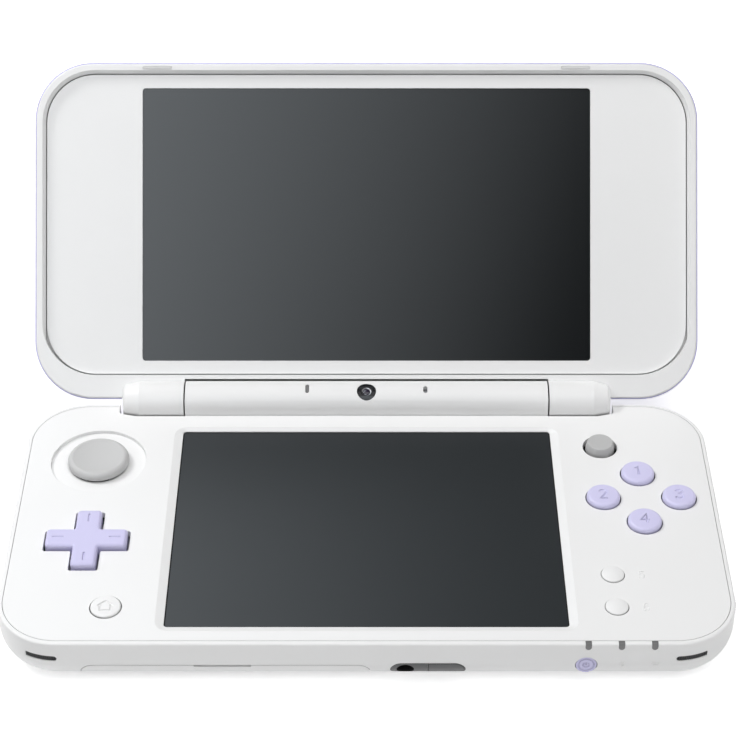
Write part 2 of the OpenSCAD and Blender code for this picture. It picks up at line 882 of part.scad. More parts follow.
module lower_lcd() color([0.15, 0.16, 0.17])
    translate([0, low_y, 0])
        slab(low_w + lcd_margin[0], low_h + lcd_margin[1], 1, board_top + 0.22, lcd_top);

module touch_panel() color(dark)
    translate([0, low_y, 0])
        slab(low_w + 2.8, low_h + 2.8, 1, touch_z, touch_z + touch_t);

board_side = 4.2;
board_front = 6.8;
board_back = 10.4;
board_hole = [9, 14.4];
speaker_inset = 12.4;
speaker_r = 6;
board_notch = speaker_inset + speaker_r + 1.5;

// the board, with a notch at each front corner for a speaker
module main_board() color(board_green)
    difference() {
        union() {
            box([-body_w / 2 + board_side, body_w / 2 - board_side],
                [-body_d / 2 + board_notch, body_d / 2 - board_back], [board_z, board_top]);
            box([-body_w / 2 + board_notch + 1.1, body_w / 2 - board_notch - 1.1],
                [-body_d / 2 + board_front, body_d / 2 - board_back], [board_z, board_top]);
        }
        both_sides()
            post(body_w / 2 - board_hole[0], body_d / 2 - board_hole[1], 1,
                 board_z - over, board_top + over);
    }

battery_gap = 1.2;
battery_back = 8.4;
switch_inset = 4;
battery_x = [0.5 - trigger_x0 - switch_inset, stylus_x - stylus_r - stylus_wall - 2];
battery_y = [card_y + card_d + cage_t + battery_gap, body_d / 2 - battery_back];

module battery() color([0.25, 0.25, 0.28])
    translate([(battery_x[0] + battery_x[1]) / 2, (battery_y[0] + battery_y[1]) / 2, 0])
        slab(battery_x[1] - battery_x[0], battery_y[1] - battery_y[0], 1.5,
             floor_z + slip, board_z - 1);

speaker_x = body_w / 2 - speaker_inset;
speaker_y = -body_d / 2 + speaker_inset;
speaker_z = plate_z - 6.6;

module speakers() color(dark)
    both_sides()
        difference() {
            post(speaker_x, speaker_y, speaker_r, speaker_z, plate_z - 0.6);
            post(speaker_x, speaker_y, speaker_r - 1, plate_z - 1.6, plate_z);
        }

module card_slot() color(steel)
    difference() {
        box([card_x - card_w / 2 - cage_t, card_x + card_w / 2 + cage_t],
            [card_y, card_y + card_d + cage_t], [card_z - cage_t, card_z + card_h + cage_t]);
        box([card_x - card_w / 2, card_x + card_w / 2],
            [card_y - over, card_y + card_d], [card_z, card_z + card_h]);
    }

module memory_card_slot() color(steel)
    difference() {
        box([memory_x - memory_w / 2 - 0.5, memory_x + memory_w / 2 + 0.5],
            [card_y + 0.2, card_y + 12], [floor_z + 0.6, floor_z + 2.8]);
        box([memory_x - memory_w / 2, memory_x + memory_w / 2],
            [card_y - over, card_y + 11], [floor_z + 1.2, floor_z + 2.2]);
    }

module headphone_socket() color(dark)
    difference() {
        box([jack_x - jack_w / 2, jack_x + jack_w / 2], [stylus_bore_y + 0.1, stylus_bore_y + jack_l],
            [panel_z - jack_h / 2, panel_z + jack_h / 2]);
        translate([jack_x, stylus_bore_y - over, panel_z])
            rotate([-90, 0, 0])
                cylinder(r = jack_r, h = jack_l);
    }

// the stylus's end, a D that fills the right half of the socket panel
module stylus_end(grow) {
    h = panel_h - 0.6;
    x1 = panel_x + panel_w / 2 - 0.3;
    translate([x1 - h / 2, 0])
        circle(h / 2 + grow);
    translate([stylus_butt_x - grow, -h / 2 - grow])
        square([x1 - h / 2 - stylus_butt_x + grow, h + 2 * grow]);
}

module socket_bezel() color(dark)
    intersection() {
        base_block();
        difference() {
            front_cut(-body_d / 2 - over, stylus_bore_y - 0.1)
                translate([panel_x, panel_z])
                    pill(panel_w, panel_h);
            front_cut(-body_d / 2 - 2 * over, stylus_bore_y + over)
                translate([jack_x, panel_z])
                    circle(jack_r + fit);
            front_cut(-body_d / 2 - 2 * over, stylus_bore_y + over)
                translate([0, panel_z])
                    stylus_end(0.1);
        }
    }

module charge_port() color(dark)
    difference() {
        box([-port_w / 2 + slip, port_w / 2 - slip], [body_d / 2 - 7, body_d / 2 - 2.6],
            [port_z - port_h / 2 + slip, port_z + port_h / 2 - slip]);
        box([-port_w / 2 + 0.6, port_w / 2 - 0.6], [body_d / 2 - 6.2, body_d / 2],
            [port_z - port_h / 2 + 0.5, port_z + port_h / 2 - 0.9]);
    }

module infrared_window() color([0.1, 0.03, 0.05])
    intersection() {
        base_block();
        box([ir_x - ir_w / 2 + slip, ir_x + ir_w / 2 - slip], [body_d / 2 - 5, body_d / 2 + over],
            [port_z - port_h / 2 + slip, port_z + port_h / 2 - slip]);
    }

module outer_cameras() color(dark)
    for (s = [-1, 1])
        difference() {
            post(s * camera_pitch / 2, camera_y, camera_r, under_z + 0.1, floor_z - 0.1);
            translate([s * camera_pitch / 2, camera_y, under_z])
                cylinder(r1 = 1.6, r2 = 1, h = 0.5);
        }

module rubber_feet() color(rubber)
    for (p = foot_places)
        post(p[0], p[1], foot_r, 0, under_z + 0.4);

module case_screws() color(steel)
    for (p = screw_places)
        difference() {
            union() {
                post(p[0], p[1], screw_head_r, under_z + 0.05, under_z + screw_head_t - 0.02);
                post(p[0], p[1], screw_r, under_z + 0.2, screw_boss_top - 0.3);
            }
            translate([p[0], p[1], under_z])
                linear_extrude(0.25)
                    cross(1.8, 0.45);
        }

module indicator_lenses() color(grey)
    intersection() {
        base_block();
        front_cut(-body_d / 2 - over, -body_d / 2 + rim_w)
            led_windows(-lens_fit);
    }

// -------------------------------------------------- under the deck plate

slider_x = 14.4;
slider_y = 18;
slider_z = board_top + 0.9;
slider_t = 0.55;
guide = 5;
shield_t = 0.5;
shield_z = slider_z + slider_t + 0.1;
pad_stem_r = 2.5;
pad_round = 0.9;
pad_dish = 0.45;
pad_dish_r = 30;
shield_r = pad_stem_r + 2 * pad_travel * sqrt(2) + fit;
pad_case = [21, 22];

module pad_module() color(dark)
    translate([pad_x, pad_y, 0])
        difference() {
            box([-pad_case[0] / 2, pad_case[0] / 2], [-pad_case[1] / 2, pad_case[1] / 2],
                [board_top + slip, slider_z + slider_t]);
            box([-slider_x / 2 - pad_travel - 0.2, slider_x / 2 + pad_travel + 0.2],
                [-slider_y / 2 - slip, slider_y / 2 + slip], [slider_z - slip, slider_z + over]);
        }

module pad_slider() color(grey)
    translate([pad_x, pad_y, 0])
        difference() {
            box([-slider_x / 2, slider_x / 2], [-slider_y / 2, slider_y / 2],
                [slider_z, slider_z + slider_t]);
            box([-guide / 2 - slip, guide / 2 + slip],
                [-guide / 2 - pad_travel - 0.2, guide / 2 + pad_travel + 0.2],
                [slider_z - over, slider_z + over]);
        }

// the cap: a grip with a dished top on a stem, with its guide and shield below
module pad_cap() color(grey)
    translate([pad_x, pad_y, 0]) {
        foot_z = deck_z - 0.3;
        top_z = deck_z + pad_up;
        rotate_extrude()
            difference() {
                union() {
                    translate([0, foot_z])
                        square([pad_cap_r, top_z - pad_round - foot_z]);
                    translate([0, foot_z])
                        square([pad_cap_r - pad_round, top_z - foot_z]);
                    translate([pad_cap_r - pad_round, top_z - pad_round])
                        circle(pad_round);
                }
                translate([0, top_z + pad_dish_r - pad_dish])
                    circle(pad_dish_r, $fn = 360);
            }
        post(0, 0, pad_stem_r, shield_z, foot_z + 0.1);
        post(0, 0, shield_r, shield_z, shield_z + shield_t);
        box([-guide / 2, guide / 2], [-guide / 2, guide / 2], [slider_z + 0.05, shield_z + 0.1]);
    }

dpad_gap = 0.4;
dpad_foot_w = 1;
dpad_foot_t = 0.6;
dpad_rise = (dpad_l / 2 + dpad_w / 2 + 2 * dpad_foot_w) * sin(dpad_tilt);
dpad_foot_z = flange_top - dpad_foot_t - dpad_rise;
dpad_pivot_z = dpad_foot_z - 0.1;
dpad_ball_r = 1;
dpad_dish_r = 14;
dpad_dish = 0.25;
dpad_mark = [2.6, 0.4, 0.15];
dpad_mark_x = 6.3;
dpad_dome_x = 7;
dpad_dome_r = 2;

// the outline of the direction pad, grown by g, with small fillets between its arms
module dpad_outline(g) {
    l = dpad_l + 2 * g;
    w = dpad_w + 2 * g;
    rounded_rect(l, w, dpad_round);
    rounded_rect(w, l, dpad_round);
    for (a = [0:90:270])
        rotate(a)
            translate([w / 2 - slip, w / 2 - slip])
                difference() {
                    square(dpad_round / 2 + slip);
                    translate([dpad_round / 2 + slip, dpad_round / 2 + slip])
                        circle(dpad_round / 2);
                }
}

// a block across one arm of the direction pad, with its two top edges chamfered
module chamfered(w, l, z0, z1)
    rotate([90, 0, 0])
        linear_extrude(l, center = true)
            polygon([[-w / 2, z0], [w / 2, z0], [w / 2, z1 - dpad_chamfer],
                     [w / 2 - dpad_chamfer, z1], [dpad_chamfer - w / 2, z1],
                     [-w / 2, z1 - dpad_chamfer]]);

module dpad_rubber() color(rubber)
    translate([pad_x, dpad_y, 0])
        difference() {
            union() {
                slab(dpad_l + 1, dpad_l + 1, 4, board_top + contact_fit, board_top + fit);
                for (a = [0:90:270])
                    rotate(a)
                        post(dpad_dome_x, 0, dpad_dome_r, board_top + 0.1,
                             dpad_foot_z - (dpad_l / 2 + 1.5) * sin(dpad_tilt) - fit);
            }
            post(0, 0, 1.8, board_top, rubber_top + over);
        }

module dpad_pivot() color(grey)
    translate([pad_x, dpad_y, 0]) {
        post(0, 0, 1.5, board_top + 0.15, dpad_pivot_z - 0.25);
        post(0, 0, 0.7, board_top + 0.15, dpad_pivot_z);
        translate([0, 0, dpad_pivot_z])
            intersection() {
                sphere(r = dpad_ball_r);
                post(0, 0, 2, -0.4, 0.9);
            }
    }

module dpad() color(lavender)
    translate([pad_x, dpad_y, 0])
        difference() {
            top_z = deck_z + dpad_up;
            union() {
                intersection() {
                    translate([0, 0, dpad_foot_z])
                        linear_extrude(top_z - dpad_foot_z)
                            dpad_outline(0);
                    union()
                        for (a = [0, 90])
                            rotate(a)
                                intersection() {
                                    chamfered(dpad_l, dpad_l, dpad_foot_z, top_z);
                                    rotate(90)
                                        chamfered(dpad_w + dpad_round, dpad_l, dpad_foot_z, top_z);
                                }
                }
                translate([0, 0, dpad_foot_z])
                    linear_extrude(dpad_foot_t)
                        cross(dpad_l + 2 * dpad_foot_w, dpad_w + 2 * dpad_foot_w);
            }
            // the socket of the pivot, the dished middle and the four engraved marks
            translate([0, 0, dpad_pivot_z])
                sphere(r = dpad_ball_r + slip);
            translate([0, 0, top_z + dpad_dish_r - dpad_dish])
                sphere(r = dpad_dish_r);
            for (a = [0:90:270])
                rotate(a)
                    translate([dpad_mark_x, 0, top_z])
                        cube([dpad_mark[0], dpad_mark[1], 2 * dpad_mark[2]], center = true);
        }

// a button with a crowned top and a round edge, kept in the deck by its keyed flange
module button(x, y, r, up, edge, crown) {
    top_z = deck_z + up;
    edge_r = r - edge;
    edge_top = top_z - crown * pow(edge_r / r, 2);
    crown_r = (r * r + crown * crown) / (2 * crown);
    bottom_z = rubber_top + press_room;
    translate([x, y, 0]) {
        rotate_extrude()
            intersection() {
                union() {
                    translate([0, bottom_z])
                        square([r, edge_top - edge - bottom_z]);
                    translate([0, bottom_z])
                        square([edge_r, top_z + crown - bottom_z]);
                    translate([edge_r, edge_top - edge])
                        circle(edge);
                }
                translate([0, top_z - crown_r])
                    circle(crown_r, $fn = 360);
            }
        post(0, 0, r + flange_w, flange_top - flange_t, flange_top);
        box([-r - flange_w - key_l, r + flange_w + key_l], [-key_w / 2, key_w / 2],
            [flange_top - flange_t, flange_top]);
    }
}

module face_button(i)
    color(lavender)
        button(face_places[i][0], face_places[i][1], face_r, face_up, face_round, 0.15);

module button_top() face_button(0);
module button_left() face_button(1);
module button_right() face_button(2);
module button_bottom() face_button(3);

module start_button() color(white)
    button(small_x, start_y, small_r, small_up, 0.3, 0.45);

module select_button() color(white)
    button(small_x, select_y, small_r, small_up, 0.3, 0.45);

module home_button() color(white)
    button(home_x, home_y, home_r, home_up, 0.35, 0.15);

module button_rubbers() color(rubber)
    difference() {
        union() {
            for (p = face_places)
                post(p[0], p[1], face_r + rubber_lap, board_top + contact_fit, rubber_top);
            translate([face_x, face_y, board_top + contact_fit])
                linear_extrude(0.25)
                    rotate(45)
                        square(face_step_y * 1.5, center = true);
        }
        post(face_x, face_y, 2, board_top - over, rubber_top + over);
    }

module small_rubbers() color(rubber) {
    for (p = small_places)
        post(p[0], p[1], small_r + rubber_lap, board_top + contact_fit, rubber_top);
    post(home_x, home_y, home_r + rubber_lap, board_top + contact_fit, rubber_top);
}

nub_tilt_z = board_top + 1.6;

module nub_sensor() color(dark)
    difference() {
        box([nub_x - 3.9, nub_x + 3.9], [nub_y - 3.9, nub_y + 3.9], [board_top + slip, nub_tilt_z - 0.1]);
        post(nub_x, nub_y, 1.2, board_top + 0.5, nub_tilt_z + over);
    }

module nub_post() color(steel)
    post(nub_x, nub_y, 0.8, board_top + 0.6, deck_z - 0.3);

module nub_cap() color(grey)
    translate([nub_x, nub_y, 0])
        difference() {
            top_z = deck_z + nub_up;
            rotate_extrude()
                polygon([[0, plate_z + 0.3], [nub_r - 0.3, plate_z + 0.3], [nub_r, plate_z + 0.9],
                         [nub_r, top_z - 0.9], [nub_r - 0.15, top_z - 0.45],
                         [nub_r - 0.6, top_z - 0.12], [nub_r - 1.4, top_z], [0, top_z]]);
            post(0, 0, 1, plate_z, deck_z - 0.2);
        }

// ------------------------------------------------------ switches and edges

module edge_switches() color(dark) {
    both_sides() {
        translate([body_w / 2 - 8.7, body_d / 2 - 8.7, 0])
            rotate(45)
                box([-2.5, 2.5], [-1.2, 1], [shoulder_z[0] + 1.4, board_z - 0.1]);
        box([trigger_x0 + switch_inset, trigger_x1 - switch_inset],
            [trigger_flange_y - 3, trigger_flange_y - trigger_travel - fit],
            [floor_z + 0.2, trigger_z[1]]);
    }
    box([power_x - 3, power_x + 3],
        [power_boss_y + power_flange_t + power_travel + 0.3, power_boss_y + 4.5],
        [power_z - 2, board_z - 0.1]);
}

module volume_pot() color(dark)
    box([-body_w / 2 + 2.7, -body_w / 2 + 4.1], [volume_y - 8, volume_y + 8],
        [board_z - 1, plate_z - 0.5]);

wireless_w = 10;
wireless_l = 16;

module wireless_module() color(steel)
    translate([-body_w / 2 + 13, dpad_y + 2.3, 0])
        box([-wireless_w / 2, wireless_w / 2], [-wireless_l / 2, wireless_l / 2],
            [board_z - 1.4, board_z - contact_fit]);

module volume_slider() color(grey) {
    translate([-body_w / 2 - 0.25, 0, 0])
        box([0, base_wall + 0.45], [volume_y - volume_knob[0] / 2, volume_y + volume_knob[0] / 2],
            [volume_z - volume_knob[1] / 2, volume_z + volume_knob[1] / 2]);
    box([-body_w / 2 + base_wall + 0.15, -body_w / 2 + base_wall + 0.75],
        [volume_y - volume_knob[0] / 2 - 2, volume_y + volume_knob[0] / 2 + 2],
        [volume_z - 1.6, volume_z + 1.2]);
}

module power_button() color(lavender)
    translate([power_x, 0, power_z])
        rotate([90, 0, 0]) {
            front = body_d / 2 - 0.2;
            back = -power_boss_y - 0.1 - power_flange_t;
            translate([0, 0, back])
                cylinder(r = power_r, h = front - back);
            translate([0, 0, back])
                cylinder(r = power_flange_r, h = power_flange_t);
        }

module shoulder_button() {
    difference() {
        union() {
            difference() {
                intersection() {
                    base_block();
                    shoulder_region(0);
                }
                base_block(shoulder_t);
            }
            intersection() {
                base_block(1);
                post(shoulder_pin[0], shoulder_pin[1], 1.75, shoulder_z[0], shoulder_z[1]);
            }
        }
        post(shoulder_pin[0], shoulder_pin[1], shoulder_pin_r + slip, 0, deck_z);
    }
}

module shoulder_right() color(white)
    shoulder_button();

module shoulder_left() color(white)
    mirror([1, 0, 0])
        shoulder_button();

module trigger_button() {
    intersection() {
        base_block();
        trigger_region(0, trigger_flange_y);
    }
    box([trigger_x0 - 0.8, trigger_x1 + 0.8], [trigger_flange_y, trigger_flange_y + 1],
        [trigger_z[0] + 0.4, trigger_z[1]]);
}

module trigger_right() color(white)
    trigger_button();

module trigger_left() color(white)
    mirror([1, 0, 0])
        trigger_button();

module card_flap() color(white) {
    intersection() {
        difference() {
            base_block();
            base_block(flap_t);
        }
        flap_region(0);
    }
    flap_rod(flap_lug_r, flap_x0, flap_x1);
    flap_rod(flap_pin_r, flap_x0 - 1, flap_x1 + 1);
}

module stylus() color(dark) {
    intersection() {
        base_block();
        front_cut(-body_d / 2 - over, stylus_bore_y - 0.2)
            translate([0, panel_z])
                stylus_end(0);
    }
    translate([stylus_x, stylus_bore_y - 1, panel_z])
        rotate([-90, 0, 0]) {
            cylinder(r = stylus_r, h = stylus_l - stylus_short);
            translate([0, 0, stylus_l - stylus_short])
                cylinder(r1 = stylus_r, r2 = stylus_tip_r, h = stylus_tip_l);
        }
}

// ------------------------------------------------------------------ the lid

lid_recess_y = [-body_d / 2 + rim_front + recess_draft, body_d / 2 - chin_w];
lid_recess_w = body_w - 2 * rim_side - 2 * recess_draft;
lid_recess_r = corner_r - 2;
bezel_groove = 0.25;
frame_in = cover_wall + 0.1;
frame_step = lid_top - lid_edge - 0.1;

// the recess of the lid, drawn in by g
module lid_recess(g, z0, z1) {
    translate([0, (lid_recess_y[0] + lid_recess_y[1]) / 2, 0])
        slab(lid_recess_w - 2 * g, lid_recess_y[1] - lid_recess_y[0] - 2 * g,
             lid_recess_r - g, z0, z1);
}

// half the section of the recess where its walls widen towards the face
module flare_section(x) {
    slope = recess_draft / recess_d;
    polygon([[0, lid_z - over], [x + recess_draft + slope * over, lid_z - over],
             [x, recess_z], [x, bezel_back], [0, bezel_back]]);
}

// the mouth of the recess: drafted walls, but an upright one at the chin
module lid_recess_mouth() {
    w = lid_recess_w;
    r = lid_recess_r;
    far = lid_recess_y[1] + 2 * r;
    d = far - lid_recess_y[0];
    intersection() {
        translate([0, (lid_recess_y[0] + far) / 2, 0]) {
            for (s = [-1, 1])
                translate([s * (w / 2 - r), r - d / 2, 0])
                    rotate_extrude()
                        flare_section(r);
            rotate([90, 0, 0])
                linear_extrude(d - 2 * r, center = true)
                    for (m = [0, 1])
                        mirror([m, 0])
                            flare_section(w / 2);
            translate([0, r, 0])
                rotate([90, 0, 90])
                    linear_extrude(w - 2 * r, center = true)
                        mirror([1, 0])
                            flare_section(d / 2 + r);
        }
        translate([0, lid_recess_y[1] - body_d / 2, 0])
            slab(w + 2 * recess_draft, body_d, r + recess_draft, lid_z - over, bezel_back);
    }
}

module lid_frame() color(white)
    opened()
        difference() {
            union() {
                tub(body_w - 2 * cover_lap, body_d - 2 * cover_lap, corner_r - cover_lap,
                    0.35, 0, lid_z, lid_z + frame_rim - 0.05);
                slab(body_w - 2 * frame_in, body_d - 2 * frame_in,
                     corner_r - frame_in, lid_z + 0.4, frame_step);
                slab(body_w - 2 * frame_in - 1, body_d - 2 * frame_in - 1,
                     corner_r - frame_in - 0.5, lid_z + 0.4, frame_top);
                both_sides()
                    knuckle(knuckle_x, 0, 0);
            }
            // the recess, the seat of the bezel and the space behind it
            lid_recess_mouth();
            lid_recess(0, recess_z - slip, bezel_back);
            lid_recess(1.5, lid_z, frame_top + over);
            // the slot over the barrel
            hinge_rod(barrel_r + slot_gap, -knuckle_x, knuckle_x);
            both_sides()
                hinge_rod(hinge_pin_r + 0.04, barrel_x - over, knuckle_x + pin_l + 0.3);
            both_sides()
                translate([bumper_x, bumper_y, lid_z - over])
                    linear_extrude(over + 0.4)
                        pill(bumper_l + 2 * slip, bumper_w + 2 * slip);
        }

bumper_l = 7;
bumper_w = 0.6;
bumper_x = 50.5;
bumper_y = -body_d / 2 + 1.25;

module lid_bumpers() color(grey)
    opened()
        both_sides()
            translate([bumper_x, bumper_y, lid_z - 0.15])
                linear_extrude(0.53)
                    pill(bumper_l, bumper_w);

// the outside of the lid, drawn in by depth
module lid_block(depth) {
    translate([0, 0, lid_top - depth])
        mirror([0, 0, 1])
            tub(body_w - 2 * depth, body_d - 2 * depth, corner_r - depth,
                lid_edge - depth, 0, 0, lid_t - frame_rim - depth + (depth > 0 ? over : 0));
}

module lid_cover() color(lavender)
    opened()
        difference() {
            lid_block(0);
            lid_block(cover_wall);
            hinge_rod(trough_r, -trough_x, trough_x);
            // the fine ribs
            for (i = [0:rib_n - 1])
                translate([0, (i - (rib_n - 1) / 2) * rib_pitch, lid_top])
                    cube([body_w - 2 * lid_edge, 0.5, 0.4], center = true);
        }

module lid_bezel() color(white)
    opened()
        difference() {
            lid_recess(bezel_groove, recess_z, bezel_back - 0.02);
            translate([0, up_y, 0])
                slab(up_w, up_h, 0.8, lid_z, lid_top);
        }

module upper_glass() color(dark)
    opened()
        translate([0, up_y, 0])
            slab(up_w - 0.1, up_h - 0.1, 0.75, up_glass_z, up_glass_z + up_glass_t - 0.02);

module upper_lcd() color([0.15, 0.16, 0.17])
    opened()
        translate([0, up_y, 0])
            slab(up_w + up_lcd_margin[0], up_h + up_lcd_margin[1], 1,
                 up_lcd_z, up_lcd_z + up_lcd_t);

bottom_case();
deck_plate();
bottom_cover();
hinge_barrel();
hinge_pins();
screen_frame();
lower_lcd();
touch_panel();
main_board();
battery();
speakers();
card_slot();
memory_card_slot();
headphone_socket();
socket_bezel();
charge_port();
infrared_window();
inner_camera();
notification_led();
microphone();
outer_cameras();
rubber_feet();
case_screws();
indicator_lenses();
pad_module();
dpad_rubber();
button_rubbers();
small_rubbers();
edge_switches();
volume_pot();
wireless_module();
nub_sensor();
lid_frame();
lid_cover();
lid_bezel();
upper_glass();
upper_lcd();
lid_bumpers();
pad_slider();
pad_cap();
dpad_pivot();
dpad();
button_top();
button_left();
button_right();
button_bottom();
start_button();
select_button();
home_button();
power_button();
nub_post();
nub_cap();
shoulder_left();
shoulder_right();
trigger_left();
trigger_right();
card_flap();
volume_slider();
stylus();
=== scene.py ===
import json
import math

import bmesh
import bpy
from mathutils import Matrix, Vector


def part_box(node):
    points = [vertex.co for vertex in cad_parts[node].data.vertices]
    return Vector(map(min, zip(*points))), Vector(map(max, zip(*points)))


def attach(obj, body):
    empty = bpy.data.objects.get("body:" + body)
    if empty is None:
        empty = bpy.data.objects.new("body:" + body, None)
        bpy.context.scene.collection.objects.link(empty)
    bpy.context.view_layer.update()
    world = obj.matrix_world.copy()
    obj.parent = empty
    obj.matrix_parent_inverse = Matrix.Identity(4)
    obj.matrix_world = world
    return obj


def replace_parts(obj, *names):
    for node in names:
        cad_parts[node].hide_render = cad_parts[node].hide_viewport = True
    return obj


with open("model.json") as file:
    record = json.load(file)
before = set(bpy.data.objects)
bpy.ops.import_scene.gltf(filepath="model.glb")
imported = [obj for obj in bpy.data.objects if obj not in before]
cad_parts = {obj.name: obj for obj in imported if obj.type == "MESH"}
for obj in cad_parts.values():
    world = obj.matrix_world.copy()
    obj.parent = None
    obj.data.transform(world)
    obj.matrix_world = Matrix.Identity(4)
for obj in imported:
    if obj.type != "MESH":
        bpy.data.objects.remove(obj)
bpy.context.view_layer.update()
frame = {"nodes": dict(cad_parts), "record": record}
nodes = frame["nodes"]
joints = {joint["name"]: joint for joint in frame["record"]["behaviour"]["joints"]}
MM = 0.001

# --- Bottom case -------------------------------------------------------------------------------
# The lower tub of the base, injection moulded in white plastic with a fine spark-eroded grain.
# Its round bottom edge, the trough of the hinge and the windows for the edge parts come from the frame.


class Wire:
    """The output of a node. Python arithmetic on it adds Math nodes."""

    def __init__(self, graph, socket):
        self.graph, self.socket = graph, socket

    def _math(self, operation, *terms):
        return self.graph.add("ShaderNodeMath", {"operation": operation}, dict(enumerate(terms)))

    def __add__(self, other):
        return self._math("ADD", self, other)

    def __sub__(self, other):
        return self._math("SUBTRACT", self, other)

    def __rsub__(self, other):
        return self._math("SUBTRACT", other, self)

    def __mul__(self, other):
        return self._math("MULTIPLY", self, other)

    def size(self):
        """The value without its sign."""
        return self._math("ABSOLUTE", self)

    def within(self, low, high):
        """Stretches low to high over 0 to 1, and holds it there."""
        return self.graph.add("ShaderNodeMapRange", {"clamp": True},
                              {"Value": self, "From Min": low, "From Max": high})

    __radd__, __rmul__ = __add__, __mul__


class Graph:
    """A node tree, and one method that adds any node to it."""

    def __init__(self, tree):
        self.tree = tree

    def add(self, kind, settings=None, inputs=None, output=0):
        """A node of any kind: its settings first, then its inputs. Returns one of its outputs."""
        node = self.tree.nodes.new(kind)
        for name, value in (settings or {}).items():
            setattr(node, name, value)
        for key, value in (inputs or {}).items():
            self.put(value, node.inputs[key])
        return Wire(self, node.outputs[output])

    def part(self, vector, axis):
        """One coordinate of a vector."""
        return self.add("ShaderNodeSeparateXYZ", inputs={0: vector}, output=axis)

    def put(self, value, socket):
        """Links a wire to a socket, or sets the socket's own value."""
        if isinstance(value, Wire):
            self.tree.links.new(value.socket, socket)
        elif isinstance(value, (tuple, list)) and len(value) == 3 and socket.type == "RGBA":
            socket.default_value = (*value, 1)
        else:
            socket.default_value = value


class Finish(Graph):
    """A material with a Principled shader."""

    def __init__(self, name):
        self.material = bpy.data.materials.new(name)
        self.material.use_nodes = True
        super().__init__(self.material.node_tree)
        self.shader = self.tree.nodes["Principled BSDF"]
        self.place = self.add("ShaderNodeTexCoord", output="Object")

    def set(self, **sockets):
        """Feeds sockets of the shader, named with _ for a space."""
        for name, value in sockets.items():
            self.put(value, self.shader.inputs[name.replace("_", " ")])

    def noise(self, size_mm, detail=2.0, rough=0.5, stretch=(1, 1, 1)):
        """Noise with features of about size_mm, from 0 to 1, around 0.5."""
        place = self.add("ShaderNodeMapping", inputs={"Vector": self.place, "Scale": stretch})
        return self.add("ShaderNodeTexNoise", inputs={"Vector": place, "Scale": 1 / (size_mm * MM),
                                                      "Detail": detail, "Roughness": rough})

    def mix(self, factor, one, other):
        """One colour where factor is 0, the other where it is 1."""
        return self.add("ShaderNodeMix", {"data_type": "RGBA"}, {0: factor, 6: one, 7: other}, output=2)

    def surface(self, light):
        """Puts a shader in the material's output, in place of the Principled one."""
        self.put(light, self.tree.nodes["Material Output"].inputs["Surface"])

    def relief(self, height, depth_mm, edge_mm=0.0):
        """Puts a bump on the surface, over edges rounded by edge_mm."""
        inputs = {"Height": height, "Distance": depth_mm * MM, "Strength": 1.0}
        if edge_mm:
            inputs["Normal"] = self.add("ShaderNodeBevel", {"samples": 4}, {"Radius": edge_mm * MM})
        self.set(Normal=self.add("ShaderNodeBump", inputs=inputs))


def tone(colour, share):
    """A colour made darker, down to a share of its light."""
    return tuple(c * share for c in colour)


def moulded(name, colour, roughness, grain_mm=0.22, depth_mm=0.002, edge_mm=0.12, shade=0.03,
            seam=0.6, seam_mm=0.7):
    """Moulded plastic: an even fine grain, a faint cloudiness of its tone, scuffs in its gloss, and
    painted shade in its seams, where ambient occlusion darkens grooves, gaps and corners."""
    finish = Finish(name)
    grain = finish.noise(grain_mm, detail=3)
    cloud = finish.noise(28, detail=2)
    scuff = finish.noise(1.6, detail=5, rough=0.7, stretch=(1, 4, 1)).within(0.56, 0.74)
    clean = finish.mix(cloud, colour, tone(colour, 1 - shade))
    open_air = finish.add("ShaderNodeAmbientOcclusion", {"samples": 8}, {"Distance": seam_mm * MM},
                          output="AO")
    # Painted shade: within seam_mm of a wall, ambient occlusion darkens the colour towards a quarter of its
    # tone, by up to seam.
    dust_and_seam_shade = (1 - open_air).within(0.30, 0.95) * seam
    finish.set(Base_Color=finish.mix(dust_and_seam_shade, clean, tone(colour, 0.25)),
               Roughness=roughness + (cloud - 0.5) * 0.06 + (grain - 0.5) * 0.08 + scuff * 0.05)
    finish.relief(grain, depth_mm, edge_mm)
    return finish.material


def paint(material, *names):
    """Gives CAD pieces their finish."""
    for name in names:
        slots = nodes[name].data.materials
        slots.clear()
        slots.append(material)


WHITE = (0.90, 0.90, 0.90)
white_plastic = moulded("white_plastic", WHITE, 0.42)
paint(white_plastic, "bottom_case")

# --- Underside ---------------------------------------------------------------------------------
# The bottom cover is a flat moulded plate, held by four screws and standing on four rubber feet.
# Two small outer cameras look out through round windows at its back.

paint(white_plastic, "bottom_cover")


def pressed_steel(name, colour, roughness, stretch, wear=0.10):
    """Bright sheet or wire with fine drawing lines along one way."""
    finish = Finish(name)
    lines = finish.noise(0.5, detail=4, stretch=stretch)
    stain = finish.noise(9, detail=3)
    finish.set(Base_Color=finish.mix(stain, colour, tone(colour, 1 - wear)), Metallic=1.0,
               Roughness=roughness + (lines - 0.5) * 0.25)
    finish.relief(lines, 0.003, 0.04)
    return finish.material


def cast_rubber(name, colour):
    """Matt silicone rubber with a fine speckle of dust and powder."""
    finish = Finish(name)
    speckle = finish.noise(0.12, detail=2)
    dust_and_seam_shade = finish.noise(3, detail=4, rough=0.7)
    pale = tuple(min(1, c * 1.25 + 0.02) for c in colour)
    finish.set(Base_Color=finish.mix(dust_and_seam_shade, colour, pale), Roughness=0.78 + (speckle - 0.5) * 0.15)
    finish.relief(speckle, 0.006, 0.1)
    return finish.material


steel = pressed_steel("pressed_steel", (0.62, 0.62, 0.64), 0.3, (1, 12, 1))
paint(steel, "case_screws")
paint(cast_rubber("foot_rubber", (0.42, 0.42, 0.43)), "rubber_feet")


